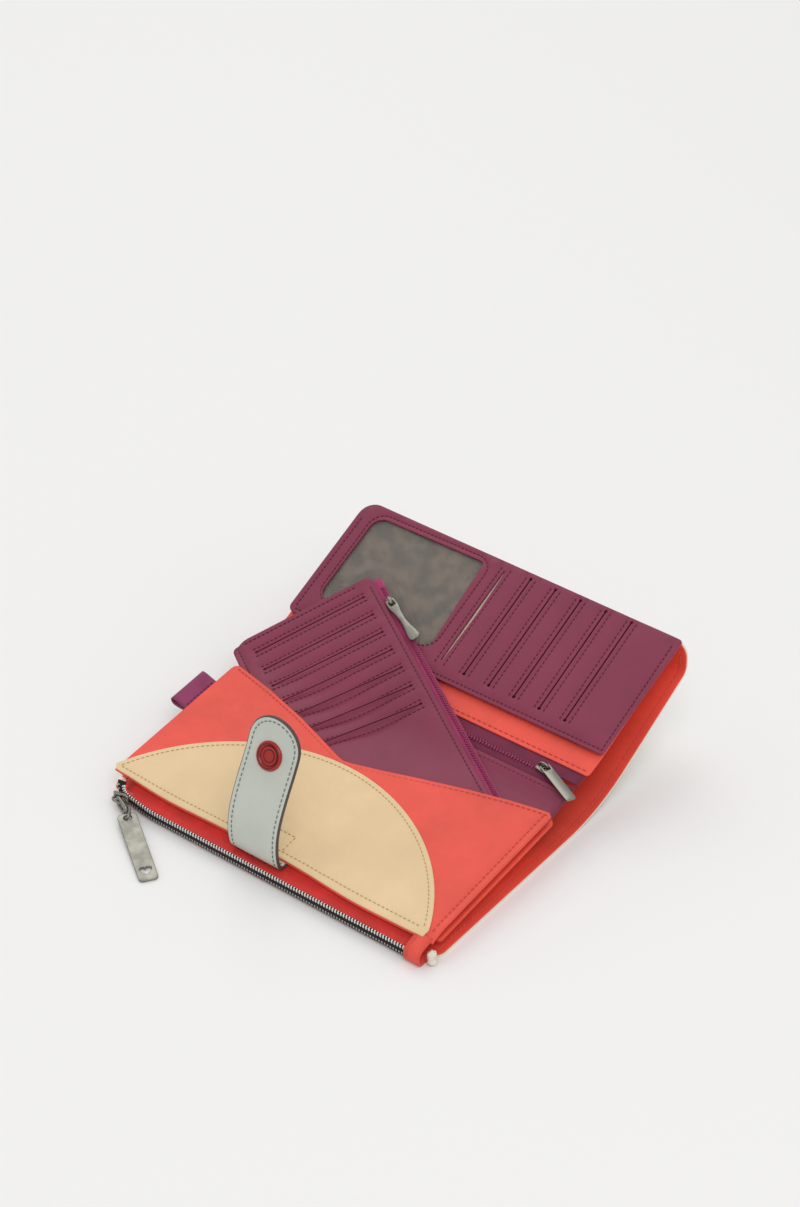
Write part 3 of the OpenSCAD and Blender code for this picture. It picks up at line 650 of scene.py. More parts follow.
HALF = 98.0
SEAM_IN = 3.2
S_MID = 107.0
S_TOP = float(lengths(cover_path)[-1]) - 3.0 - 2.6
TOP_R = 7.3
side, turn_x, turn_s = HALF - SEAM_IN, HALF - 10.5, S_TOP - 10.5
outer = rrect(-HALF, -2.6, HALF, S_TOP, (6.5, 9, 9, 6.5))
low_line = [(-side, S_MID), (-side, 0), (side, 0), (side, S_MID)]
high_line = np.concatenate([[(side, S_MID)], arc((turn_x, turn_s), TOP_R, 5, 85, 5),
                            arc((-turn_x, turn_s), TOP_R, 95, 175, 5), [(-side, S_MID)]])
seam_row = [(-HALF + 1, S_MID), (HALF - 1, S_MID)]
FOLDS = (("front", "cover_front", "spine", 0.0925, 0.0955), ("flap", "spine", "flap", 0.1182, 0.1218))
for kind, part, face_at, t, mat, thread, lift in (
        ("skin", "shell", skin_at, 1.2, "cream", "thread_cream", -0.25),
        ("lining", "lining", lining_at, 0.8, "coral_lining", "thread_red", 0.1)):
    pair = plate("cover_" + kind, outer, face_at, t, mat, r=0.35, step=4.0,
                 lines=lanes(low_line, high_line) + [seam_row],
                 relief=groove([low_line, high_line], 0.15, 0.8), cut=lambda c: c[1] > S_MID)
    for o, L, tag, (area_name, b0, b1, y0, y1) in zip(pair, (low_line, high_line), "ab", FOLDS):
        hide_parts("cover_%s_%s" % (area_name, part), "cover_spine_" + part)
        st = stitches("cover_%s_%s_stitches" % (kind, tag), [L], face_at, thread, lift=lift, slot=SLOTS[mat])
        for q in (o, st):
            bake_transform(q)


# Pocket leaf

LEAF_TILT = 6.2
leaf_dir = direction(LEAF_TILT)
TS = math.tan(math.radians(LEAF_TILT))
LH = 95.5

# how far the lip hangs over the zip along X: less where the strap holds it up
LIP_X = np.linspace(-96, 96, 193)
LIP_K = relaxed(np.interp(LIP_X, [-95, -62, -26, 16, 50, 96], [0, 0.65, 0.35, 0.35, 1.0, 0.75]), 90)


def leaf_at(x, y, d):
    z = 12 + TS * y
    lip = np.clip((7 - y) / 7.8, 0, 1) ** 2 * np.interp(x, LIP_X, LIP_K) * (d < 2.2)
    return np.stack([x, y + leaf_dir[1] * d - 2.3 * lip, z - leaf_dir[0] * d - 2.7 * lip], 1)


def sag(V):
    """The leather rises a little over the card holder."""
    return 0.5 * np.exp(-((V[:, 0] - 5) / 45) ** 2) * np.clip(V[:, 1] / 60, 0, 1) ** 2


v_pts = np.array([(-LH, 84.5), (-95.1, 86.4), (-93.9, 87.6), (-92, 87.9), (-69, 83), (-44.3, 76.2),
                  (-25.2, 69.6), (-12, 64.8), (-7.4, 63.6), (-3, 64.4), (11, 68.3), (30.5, 74.4),
                  (54, 81.4), (73.3, 86.2),
                  (88, 89.0), (LH - 2, 89.8), (LH, 88.0)])
leaf_out = np.concatenate([[(-LH, -0.8), (LH, -0.8)], v_pts[::-1]])
leaf_lines = [beside(v_pts[3:-1], -2.1), [(LH - 3.4, 87.0), (LH - 3.4, 2.0)]]
plate("front_pocket_skin", leaf_out, leaf_at, 1.5, "coral", r=0.6, step=3.2, lines=lanes(*leaf_lines),
      relief=both(groove(leaf_lines, 0.3, 0.8, 0.15), sag), under=sag, body="pocket_leaf",
      nodes="front_pocket")
stitches("front_pocket_stitches", leaf_lines, leaf_at, "thread_red", 2.8, 2.1, 0.28, 0.1, body="pocket_leaf")

PATCH_C, PATCH_R = (-3.0, -43.0), 104.0
STRAP_X = -4.0
patch_out = np.concatenate([arc(PATCH_C, PATCH_R, 25.6, 154.4, 59), [(-LH + 0.6, -0.7), (90, -0.7)]])
sew_box = [(STRAP_X + 10.3, 1.8), (STRAP_X + 10.3, 11.5), (STRAP_X - 12.0, 11.5), (STRAP_X - 12.0, 1.8)]
patch_lines = [arc(PATCH_C, PATCH_R - 2.6, 26.3, 153.7, 59), sew_box, [(-LH + 2, 1.8), (86, 1.8)]]


def patch_at(x, y, d):
    return leaf_at(x, y, d - 1.0 - sag(np.stack([x, y], 1)))


plate("half_round_skin", patch_out, patch_at, 1.0, "beige", r=0.45, step=3.2, lines=lanes(*patch_lines),
      relief=groove(patch_lines, 0.22, 0.7, 0.1), body="pocket_leaf", nodes="half_round_patch")
stitches("half_round_stitches", patch_lines, patch_at, "thread_beige", 2.4, 1.7, 0.22, 0.02,
         body="pocket_leaf")

back_line = [[(-LH + 3, 89.4), (89, 89.4)]]
plate("pocket_back_skin", rrect(-LH + 0.3, 3, 92.0, 92.0, (1, 3, 3, 1)), sunk(leaf_at, 5.7), 1.0, "purple",
      step=4.5, lines=lanes(*back_line), relief=groove(back_line, 0.2, 0.8), body="pocket_leaf",
      nodes="pocket_back")
stitches("pocket_back_stitches", back_line, sunk(leaf_at, 5.7), "thread_purple", body="pocket_leaf")
plate("flank_skin", rrect(84, 2.5, LH - 0.2, 90.5, 2), sunk(leaf_at, 5.0), 2.4, "coral_lining", r=0.5, step=4,
      body="pocket_leaf")
for node, drop, x1, y0, y1 in (("coin_bag", 6.8, LH - 6, 30, 86), ("main_zip_bag", 7.8, LH - 4, 5, 80)):
    plate(node + "_skin", rrect(-x1, y0, x1, y1, 4), sunk(leaf_at, drop), 0.9, "coral_lining", step=8,
          body="pocket_leaf", nodes=node)

# the label is a loop of ribbon, here as distance beyond the leaf's edge and height
label = np.array([(2.5, -1.75), (0, -1.6), (-3, -0.4), (-6.5, 1.1), (-8.4, 1.6), (-9.5, 0.9), (-9.7, -0.8),
                  (-8.8, -2.2), (-6, -2.9), (2.5, -3.2)]) - (LH, 0)
label = relaxed(resample(label, 0.5, False), 4)
wall = normals(label) * 0.4
ring = np.concatenate([label + wall, (label - wall)[::-1]])
V, F = skinned([leaf_at(ring[:, 0], np.full(len(ring), y), -ring[:, 1]) for y in np.linspace(50.5, 73.5, 12)])
make("side_label_skin", V, F, "label", body="pocket_leaf", nodes="side_label")
stitches("side_label_stitches", [[(-LH - 1.2, 52), (-LH - 1.2, 72)]], sunk(leaf_at, 0.6), "thread_purple",
         lift=0.1, body="pocket_leaf", **FINE)


# Strap

ST = 1.8
W = 14.7
strap_path = [(12.0, 12.35), (5.0, 11.65), (1.2, 10.9), (-0.4, 9.6), (-1.9, 8.3), (-3.7, 8.1), (-5.3, 9.6),
              (-6.3, 12.2), (-6.9, 16), (-7.1, 21), (-6.6, 26.5), (-5.3, 32), (-3.2, 37.5), (-0.6, 43),
              (2.1, 48.2), (4.9, 53.2), (7.6, 58.2), (9.9, 63), (11.6, 68), (12.7, 73), (13.3, 78.2)]
strap_path = relaxed(resample(strap_path, 0.8, False), 6)
strap_len = lengths(strap_path)
strap_middle = along(strap_path)


def strap_at(x, s, d):
    """The outside face, which looks towards the zip, is at d = 0."""
    return strap_middle(x + STRAP_X + 0.5, s, ST / 2 - d)


def strap_inside(x, s, d):
    return strap_at(-x, s, ST - d)


def strap_s(z):
    """How far along the strap its upright part reaches a height."""
    i = len(strap_path) // 4
    return float(np.interp(z, strap_path[i:, 1], strap_len[i:]))


JOIN_Z = 26.5
strap_mid = strap_s(JOIN_Z)
tip_c = float(strap_len[-1]) - W


def strap_line(q, s_end):
    return np.vstack([(q, s_end), arc((0, tip_c), q, 0, 180, 24), (-q, s_end)])


seam = W - 2.5
low_lines = [[(seam, strap_mid), (seam, 6)], [(-seam, 6), (-seam, strap_mid)]]
high_lines = [strap_line(seam, strap_mid)]
strap_row = [(-W + 0.8, strap_mid), (W - 0.8, strap_mid)]
pair = plate("strap_skin", strap_line(W, 0.6), strap_at, ST, "strap", r=0.6, step=2.4, edge=1.0,
             lines=lanes(*low_lines, *high_lines) + [strap_row],
             relief=groove(low_lines + high_lines, 0.2, 0.6, 0.1), cut=lambda c: c[2] > JOIN_Z)
lean = direction(74)
bend_from = np.array([-2.2, 14.0]) + np.array([-lean[1], lean[0]]) * 3.5
STRAP_BENDS = (
    ("low", low_lines, "pocket_leaf", "strap_low", 0, 3, ("strap_root", "strap_curl", "strap_lower")),
    ("high", high_lines, "strap_low", "strap_tip", 21, 27, ("strap_lower", "strap_upper")))
for o, (tag, L, b0, b1, q0, q1, nodes) in zip(pair, STRAP_BENDS):
    o.data.materials.append(M["dark_edge"])
    for p in o.data.polygons:
        p.material_index = 1 if len(p.vertices) == 4 else 0
    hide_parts(*nodes)
    group = [o] + [stitches("strap_%s_stitches%s" % (tag, end), L, face, "thread_grey", 2.6, 1.9, 0.25, 0.06)
                   for end, face in (("", strap_at), ("_inside", strap_inside))]
    p0, p1 = (tuple((bend_from + lean * q) / 1000) for q in (q0, q1))
    for q in group:
        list(p0)
        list(p1)
        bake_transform(q)


# Snap: cap and socket on the strap, stud on the flap

snap_o, snap_out = (strap_at(np.full(1, -0.6), [strap_s(59.4)], d)[0] for d in (ST / 2, 0.0))
snap_n = snap_out - snap_o
SR = turn("x", math.degrees(math.atan2(-snap_n[1], snap_n[2])))
V, F = lathe([(6.6, 0.85), (7.0, 1.1), (7.05, 1.5), (6.8, 2.0), (6.3, 2.35), (5.7, 2.35), (5.3, 2.0),
              (5.0, 1.6), (4.6, 1.5), (4.3, 1.75), (3.9, 1.85), (3.5, 1.6), (2.0, 1.5), (0.01, 1.48)])
make("snap_cap_skin", placed(V, SR, snap_o), F, "snap_red", body="strap_tip", nodes="snap_cap")
# Painted shade: dark red rings along the dips and steps of the cap's embossed relief.
bag = Bag()
for ring_r, height in ((5.75, 2.3), (4.55, 1.62), (2.9, 1.6)):
    bag.add(*tube(flat(arc((0, 0), ring_r, 0, 351, 39), height), 0.24, 8, True))
bag.move(SR, snap_o)
bag.make("snap_cap_rings", "snap_dark", body="strap_tip")
V, F = lathe([(2.2, 1.0), (2.2, -0.9), (4.4, -0.9), (4.7, -1.2), (4.7, -2.4), (4.3, -2.95), (3.4, -3.05),
              (2.6, -2.9), (2.3, -2.5), (2.2, -1.4), (0.01, -1.4)])
make("snap_socket_skin", placed(V, SR, snap_o), F, "steel", body="strap_tip", nodes="snap_socket")
stud = lip_corner - fd * 23.3
V, F = lathe([(5.0, 0.03), (5.0, 0.4), (4.6, 0.8), (3.4, 0.95), (2.2, 1.0), (1.8, 1.3), (1.75, 1.7),
              (2.1, 2.2), (2.05, 2.6), (1.6, 2.95), (0.01, 3.0)])
make("snap_stud_skin", placed(V, turn("x", 180 + SLOPE), (STRAP_X, *stud)), F, "steel", body="flap",
     nodes="snap_stud")


# Main zip

CY, CZ = -7.2, 5.6
ribbon([(6, 10.3), (1, 9.2), (-0.8, 7.6), (-2.6, 6.7), (-4.6, 6.4), (-6.6, 6.6), (-8.0, 6.9), (-8.6, 6.2)],
       -85.2, 87, 0.6, "red_tape", "zip_tape_upper_skin", "cover_front", "main_zip_tape_upper")
ribbon([(4, 1.9), (-4, 1.9), (-6.4, 2.1), (-7.4, 2.6), (-7.8, 3.2)],
       -82.5, 87, 0.6, "red_tape", "zip_tape_lower_skin", "cover_front", "main_zip_tape_lower")
chain = [(85.4, -8.8, 4.3), (-66, -8.8, 4.3), (-78, -7.8, 5.1), (-82.5, -7.2, 5.8), (-84.8, -6.9, 6.9),
         (-86.2, -6.4, 8.4), (-86.9, -5.4, 10.2), (-87.1, -4.0, 11.6)]
chain = relaxed(resample(chain, 0.8, False), 8)
chain_len = lengths(chain)
chain_t = tangents(chain)


def chain_frame(q):
    c, t = (np.array([np.interp(q, chain_len, P[:, k]) for k in range(3)]) for P in (chain, chain_t))
    t = unit(t)
    up = unit(np.cross(t, (0, -1.0, 0)))
    return c, np.stack([t, np.cross(up, t), up], 1)


def tooth(side, q):
    """One tooth: a leg clamped on the tape that narrows to a rounded head."""
    prof = [(3.1, 0.3, 0.5), (2.85, 0.5, 1.0), (2.2, 0.56, 1.3), (1.4, 0.54, 1.25), (1.0, 0.42, 1.0),
            (0.7, 0.28, 0.6)]
    if side < 0:
        prof = [(z * 0.84, hx, hy * 0.8) for z, hx, hy in prof]
    circle = arc((0, 0), 1, 18, 342, 9)
    squarish = np.sign(circle) * abs(circle) ** 0.6
    V, F = skinned([flat(squarish * (hx, hy), side * z) for z, hx, hy in prof], flip=side > 0)
    c, R = chain_frame(q)
    return placed(V, R, c), F


PITCH = 1.6
# the upper row takes the painted highlight colour, the lower row the painted shade colour
for side, shift, node, mat in ((1, 0.6, "main_zip_teeth_upper", "teeth"),
                               (-1, 1.4, "main_zip_teeth_lower", "teeth_low")):
    bag = Bag()
    for i in range(int((chain_len[-1] - 1.5) / PITCH)):
        bag.add(*tooth(side, shift + i * PITCH))
    bag.make(node + "_skin", mat, body="cover_front", nodes=node)
# Painted shade: two near-black strips, one behind the teeth and one along their interlocked middle, stand in
# for the shade in the chain's gaps and middle.
bag = Bag()
for lo, hi, back in ((-2.4, 2.9, 0.45), (-0.9, 0.95, -0.35)):
    rings = []
    for q in np.arange(0, chain_len[-1], PITCH):
        c, R = chain_frame(q)
        sign = -1 if R[1, 1] > 0 else 1
        strip = ((back, lo), (back + 0.4, lo), (back + 0.4, hi), (back, hi))
        rings.append(placed([(0, sign * y, z) for y, z in strip], R, c))
    bag.add(*skinned(rings, caps=False))
bag.make("zip_shade_strips", "dark", body="cover_front", slot="red_tape")
# The lower bead is near-black painted shade along the lower edge of the teeth; the upper bead has the tape's
# red.
for tag, z, mat in (("upper", 3.1, "red_tape"), ("lower", -2.2, "dark")):
    frames = [chain_frame(q) for q in np.arange(0, chain_len[-1], 3)]
    V, F = tube([c + R[:, 2] * z for c, R in frames], 0.45, 10)
    make("zip_bead_" + tag, V, F, mat, body="cover_front", slot="red_tape")

tab_path = [(-1.0, 10.4), (-4.6, 9.8), (-8.0, 8.8), (-10.2, 7.8), (-10.8, 6.4), (-10.8, 3.0), (-10.2, 1.3),
            (-8.4, 0.8), (-5.0, 0.8), (-1.0, 1.0)]
ribbon(tab_path, 86.0, 94.6, 0.9, "coral", "zip_tab_right_skin", "cover_front", "zip_end_tab_right")
tab_p = resample(tab_path, 1.0, False)


def tab_at(x, q, d):
    """The end tab's outside, by point number along its path."""
    P = np.stack([np.interp(q, range(len(tab_p)), tab_p[:, k]) for k in (0, 1)], 1)
    P = P + unit_rows(P - (-4.5, 5.8)) * (0.45 - d)[:, None]
    return np.column_stack([x, P])


stitches("zip_tab_right_stitches", [[(87.6, q) for q in range(3, 17)]], tab_at, "thread_red", 2.2, 1.6, 0.25,
         0.05, body="cover_front")


def blob(c, radii, seed, n=18):
    """A small gathered lump of leather."""
    ph = np.random.default_rng(seed).uniform(0, 6, 6)
    a = math.pi * np.arange(2 * n) / n
    rings = []
    for th in math.pi * np.arange(n + 1) / n:
        D = np.stack([math.sin(th) * np.cos(a), math.sin(th) * np.sin(a), np.full(2 * n, math.cos(th))], 1)
        swell = 0.1 * np.sin(5 * D[:, 0] + ph[0]) * np.sin(6 * D[:, 1] + ph[1])
        swell += 0.07 * np.sin(9 * D[:, 2] + ph[2])
        rings.append(np.array(c) + D * np.array(radii) * (1 + swell)[:, None])
    return skinned(rings, flip=True, caps=False)


V, F = blob((-89.8, -3.4, 8.8), (2.6, 2.4, 2.2), 4)
make("corner_left_skin", V, F, "cream", body="cover_front", nodes="zip_end_tab_left")
bag = Bag()
bag.add(*blob((96.6, -4.4, 4.6), (1.9, 2.4, 2.6), 7))
bag.add(*blob((97.4, -5.0, 2.1), (2.4, 2.2, 1.7), 9))
bag.make("corner_right_skin", "cream", body="cover_front")


def slider_plate(half_l, half_w, t):
    """A slider's plate: wide shoulders at one end, a waist, and rounded corners."""
    low = [(-half_l, -half_w * 0.62), (-half_l * 0.6, -half_w * 0.684), (0, -half_w * 0.86),
           (half_l * 0.55, -half_w), (half_l, -half_w * 0.8)]
    P = resample(low + [(x, -y) for x, y in low[::-1]], 0.6)
    for _ in range(3):
        P = (np.roll(P, 1, 0) + 2 * P + np.roll(P, -1, 0)) / 4
    P = ccw(P)
    return skinned([flat(grow(P, -ins), z) for ins, z in ((0.25, 0), (0, 0.2), (0, t - 0.3), (0.3, t))])


def bridge(h0, h1, half_l, w, t):
    """An arch over a slider's plate."""
    start = [(-half_l, h0), (-half_l, h1 - 1.0), (-half_l + 0.5, h1 - 0.3), (-half_l + 1.2, h1)]
    P = resample(start + [(-x, z) for x, z in start[::-1]], 0.5, False)
    section = ((-w / 2, -t / 2), (w / 2, -t / 2), (w * 0.4, t / 2), (-w * 0.4, t / 2))
    rings = [[(p[0] + n[0] * b, a, p[1] + n[1] * b) for a, b in section] for p, n in zip(P, normals(P))]
    return skinned(rings, flip=True)


def oval(half_l, half_w, n=27):
    h = half_l - half_w
    return flat(np.concatenate([arc((h, 0), half_w, -90, 90, n), arc((-h, 0), half_w, 90, 270, n)]), 0)


SLIDER_X = -84.0
inner = 1.65
bag = Bag()
for side, half_w in ((1, 3.3), (-1, 1.4)):
    V, F = slider_plate(4.7, half_w, 1.1)
    bag.add(placed(V, turn("x", side * 90), (SLIDER_X, CY - side * inner, CZ)), F)
V, F = bridge(inner + 1.0, inner + 4.15, 3.0, 1.3, 0.9)
bag.add(placed(V, turn("x", 90), (SLIDER_X, CY, CZ)), F)
bag.make("main_zip_slider_skin", "zip_metal", body="zip_runner", nodes="main_zip_slider")

bail_c = np.array([-80.5, CY - 5.58, CZ - 1.25])
link_c = bail_c + [5.02, -2.47, -0.42]
hole_c = bail_c + [7.53, -4.35, -1.62]
for node, size, wire, R, c in (
        ("bail", (5.0, 2.6), 0.75, turn("z", -20.2) @ turn("y", 10) @ turn("x", 90), bail_c),
        ("link", (3.2, 2.0), 0.62, turn("z", -57.1) @ turn("y", 25.6) @ turn("x", 42.9), link_c)):
    V, F = tube(placed(oval(*size), R, c), wire, 12, True)
    make("zip_%s_skin" % node, V, F, "zip_metal", body=node, nodes="zip_" + node)


def bar_at(R, c, t):
    """Places a flat bar whose middle plane goes through c."""
    return lambda x, y, d: placed(np.stack([x, y, t / 2 - d], 1), R, c)


# the tag's back lies through the hole's place, and its far end rests on the table
TAG_T = 1.3
TR = turn("z", -34) @ turn("y", math.degrees(math.asin((hole_c[2] - 0.3) / 39.0)))
a = np.radians(np.arange(40) * 9)
heart_x = 16 * np.sin(a) ** 3
heart_y = 13 * np.cos(a) - 5 * np.cos(2 * a) - 2 * np.cos(3 * a) - np.cos(4 * a)
heart = np.stack([35.9 - heart_y * 0.185, heart_x * 0.185], 1)
plate("zip_tag_skin", rrect(-3.2, -4.7, 42.4, 4.7, 2.2, 8), bar_at(TR, hole_c + TR[:, 2] * TAG_T / 2, TAG_T),
      TAG_T, "tag_metal", holes=[heart, arc((0, 0), 2.0, 0, 348.75, 31)], r=0.3, step=2.5, edge=0.8,
      body="tag", nodes="zip_tag")


# Card page

pdn = direction(24.85)
p_near = np.array([197.4 - 2.0 - 1.1 - 72.7 * pdn[0], 31.8])
PH, PD = 96.0, 72.7


def page_at(x, v, d):
    return np.stack([x, p_near[0] + pdn[0] * v + pdn[1] * d, p_near[1] + pdn[1] * v - pdn[0] * d], 1)


page_out = rrect(-PH, 0.2, PH, PD, (2.5, 2.2, 8.5, 4))
k = np.clip(page_out[:, 1] / PD, 0, 1)
page_out[:, 1] += k ** 3 * (1.3 - 3.0 * np.clip((page_out[:, 0] - 20) / 70, 0, 1))
page_out[:, 0] += np.where(page_out[:, 0] > 0, 1.8 * k - 0.3, 0)
window = rrect(-85.5, 13.6, -15, 67.5, (3, 2.5, 7, 6))
window[:, 0] -= np.where(window[:, 0] > -40, 2.6 * (window[:, 1] - 14) / 53, 0)


def slit(x, y0, y1, r):
    """A cut with a round punch hole at either end."""
    return np.concatenate([arc((x, y0), r, -247, 67, 11), arc((x, y1), r, -67, 247, 11)])


slot_x = [-5 + 14.85 * i for i in range(6)]
slits = [slit(x, 8.4, 69.0, 0.85) for x in slot_x]
# the first slot gapes
v = np.linspace(10, 67.5, 24)
bow = 0.35 + 1.0 * np.sin(np.pi * (v - 10) / 57.5) ** 0.8
slits[0] = np.vstack([np.stack([slot_x[0] + bow, v], 1), np.stack([slot_x[0] - 0.35 + 0 * v, v], 1)[::-1]])
frame_line = rrect(-87.2, 12.3, -13.3, 70.1, 8.6)
page_lines = [[(x + q, v0) for v0 in (7.5, 69.5)] for x in slot_x for q in (-2.7, 2.7)]
page_lines += [np.vstack([frame_line, frame_line[:1]]), [(-PH + 3.2, 4), (-PH + 3.2, PD - 9)],
               [(PH - 2, PD - 6), (PH - 2, 2.6), (-PH + 3.2, 2.6)]]
plate("slots_panel_skin", page_out, page_at, 1.2, "purple", holes=[window] + slits, r=0.5,
      lines=lanes(*page_lines), body="card_page", nodes="slots_panel",
      relief=both(groove(page_lines, 0.3, 0.8, 0.2, 3.0), gape(slot_x, 39, 24, 0.35, 2.2, 1.6)))
stitches("slots_panel_stitches", page_lines, page_at, "thread_purple", lift=0.05, body="card_page", **FINE)
plate("window_film_skin", rrect(-87, 12.5, -13.5, 70, 7), sunk(page_at, 1.25), 0.3, "film", r=0.1, step=4,
      relief=lambda V: 0.35 * np.sin(V[:, 0] * 0.16 + 0.6) * np.sin(V[:, 1] * 0.12) - 0.35,
      body="card_page", nodes="window_film")
plate("window_lining_skin", rrect(-88, 10.5, 0, 70, 1), sunk(page_at, 2.45), 0.3, "brown_lining", r=0.1,
      step=4, body="card_page", nodes="window_lining")
LINING_GAP = 0.28
bag = Bag()
for i in range(1, 6):
    x1 = slot_x[i] - 1
    V, F = skinned([[(-9.0, 5.4, z), (x1, 5.4, z), (x1, 68, z), (-9.0, 68, z)] for z in (0, 0.2)])
    bag.add(page_at(V[:, 0], V[:, 1], 1.3 + i * LINING_GAP - V[:, 2]), F)
# Painted shade: a thin near-black sheet under the slot panel darkens the slot mouths.
plate("slots_shade_sheet", rrect(3, 5.5, 73, 69.5, 1), sunk(page_at, 1.21), 0.05, "dark", r=0.01, step=8,
      body="card_page")
bag.make("slot_linings_skin", "cream_lining", smooth=False, body="card_page", nodes="card_slot_linings")

# the backing starts in the fold and runs on under the page
BACKING_T = 0.9
backing_drop = 1.2 + 0.15 + 6 * LINING_GAP + BACKING_T / 2
b_near = p_near - np.array([-pdn[1], pdn[0]]) * backing_drop
b_path = [(118.4, 24.85), (121.5, 25.7), (124.4, 26.6), b_near * 0.999, b_near + pdn * 4,
          b_near + pdn * (PD - 3.4)]
b_path = relaxed(resample(b_path, 3.0, False), 3)
b_middle = along(b_path)


def backing_at(x, s, d):
    return b_middle(x, s, BACKING_T / 2 - d)


b_line = [[(-PH + 3, 2.4), (PH - 3, 2.4)]]
plate("page_backing_skin", rrect(-PH + 1, 0, PH - 1, float(lengths(b_path)[-1]), 2), backing_at,
      BACKING_T, "coral", step=4.5, lines=lanes(*b_line), relief=groove(b_line, 0.2, 0.8),
      body="card_page", nodes="page_backing")
stitches("page_backing_stitches", b_line, backing_at, "thread_red", body="card_page")


# Coin zip

def coil_mesh(P, across, reach, pitch, wire, core):
    """Two interlocked nylon coils on a core, seen as slanted ribs on either side of the middle."""
    bag = Bag()
    P = np.asarray(P, float)
    s = lengths(P)
    for i in range(int(s[-1] / pitch)):
        for side in (-1, 1):
            at = (i + (0.25 if side < 0 else 0.75)) * pitch
            c, c2 = (np.array([np.interp(q, s, P[:, k]) for k in range(3)]) for q in (at, at + 0.4))
            T = unit(c2 - c)
            A = across(c)
            B = np.cross(T, A)
            bag.add(*tube([c + side * A * (0.15 + (reach - 0.25) * math.cos(a) * 0.9)
                           + (B * (reach - wire) + T * 0.25 * pitch) * math.sin(a)
                           for a in np.radians(np.linspace(-100, 100, 9))], wire, 6))
    bag.add(*tube(P, core, 8))
    return bag


def coil_slider_mesh(half_h, w):
    bag = Bag()
    h = half_h + 0.3
    V, F = slider_plate(4.0, w / 2, 0.9)
    bag.add(V + (0, 0, h), F)
    V, F = slider_plate(4.0, w / 2, 0.8)
    bag.add(placed(V, turn("x", 180), (0, 0, -h)), F)
    bag.add(*bridge(h + 0.7, h + 3.7, 2.3, 1.5, 0.7))
    return bag


KY, KZ = 111.0, 22.8
TAPE_HALF = 93.5
PANEL_T = 1.0
coin_soft = [
    ribbon([(100.6, 18.7), (103.5, 20.2), (106, 21.4), (108.3, 22.5), (109.9, 22.8)], -TAPE_HALF, TAPE_HALF,
           0.6, "magenta_tape", "coin_tape_near_skin", "card_page", "coin_zip_tape_near"),
    ribbon([(112.2, 22.8), (115, 23.3), (118.4, 24.0), (122.3, 25.0)], -TAPE_HALF, TAPE_HALF, 0.6,
           "magenta_tape", "coin_tape_far_skin", "card_page", "coin_zip_tape_far")]
coin_path = [(x, KY, KZ) for x in np.arange(-89.5, 89.6, 5)]
coil = coil_mesh(coin_path, lambda c: np.array([0, 1.0, 0]), 1.75, 1.7, 0.4, 0.75)
coin_soft.append(coil.make("coin_coil_skin", "magenta_coil", body="card_page", nodes="coin_zip_coil"))
slider = coil_slider_mesh(1.3, 6.4)
slider.move(np.eye(3), (75, KY, KZ))
coin_soft.append(slider.make("coin_slider_skin", "zip_metal", body="coin_runner", nodes="coin_zip_slider"))
coin_soft.append(plate(
    "coin_puller_skin", rrect(-1.5, -2.7, 24.5, 2.7, 1.3),
    bar_at(turn("y", 5) @ turn("z", -25), np.array([75.8, KY, KZ + 3.5]), 0.9), 0.9, "zip_metal",
    holes=[rrect(-0.2, -1.6, 2.8, 1.6, 0.5)], r=0.25, step=2.0, edge=0.8, body="coin_pull",
    nodes="coin_zip_puller"))
panel = np.array([(86.5, 15.9), (91, 16.6), (95.5, 17.7), (100, 19.4), (103, 21.0), (105.6, 22.3)])
coin_soft.append(ribbon(panel, -TAPE_HALF, TAPE_HALF, PANEL_T, "purple", "coin_panel_skin", "card_page",
                        "coin_panel"))


def panel_at(x, y, d):
    return np.stack([x, y, np.interp(y, panel[:, 0], panel[:, 1]) + PANEL_T / 2 - d], 1)


coin_soft.append(stitches("coin_panel_stitches", [[(-91, 103.6), (91, 103.6)]], panel_at, "thread_purple",
                          lift=0.05, body="card_page", **FINE))
for o in coin_soft:
    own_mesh(o)


# Card holder: it lies in the leaf, then bends up to the page's slope

LOW_A, HIGH_A = LEAF_TILT, 24.25
BEND_Y, BEND_N, BEND_LEN = 82.0, 8, 20.6
HOLDER_DROP = 1.9
low_pt = np.array([BEND_Y, 12 + BEND_Y * TS - HOLDER_DROP / leaf_dir[0]])
pts = [low_pt]
for i in range(BEND_N):
    pts.append(pts[-1] + BEND_LEN / BEND_N * direction(LOW_A + (HIGH_A - LOW_A) * (i + 0.5) / BEND_N))
h_path = np.array([low_pt - leaf_dir * 90] + pts + [pts[-1] + direction(HIGH_A) * 90])
h_s = np.concatenate([[-BEND_LEN - 90], np.linspace(-BEND_LEN, 0, BEND_N + 1), [90]])
h_ang = np.concatenate([[LOW_A], np.linspace(LOW_A, HIGH_A, BEND_N + 1), [HIGH_A]])
h_top = np.array([-65.3, 61.1])
h_u = direction(-31.5)
h_v = np.array([h_u[1], -h_u[0]])


def holder_at(u, v, d):
    """u runs along the zip from the top corner, and v down the face."""
    s = h_top[1] + h_u[1] * u + h_v[1] * v
    y = np.interp(s, h_s, h_path[:, 0])
    z = np.interp(s, h_s, h_path[:, 1])
    a = np.radians(np.interp(s, h_s, h_ang))
    return np.stack([h_top[0] + h_u[0] * u + h_v[0] * v, y + np.sin(a) * d, z - np.cos(a) * d], 1)


def holder_point(u, v, d=1.7):
    return holder_at(*(np.array([float(c)]) for c in (u, v, d)))[0]


def hold_map(drop):
    """The mirror of v keeps the face outwards."""
    return lambda u, w, d: holder_at(u, -w, d + drop)


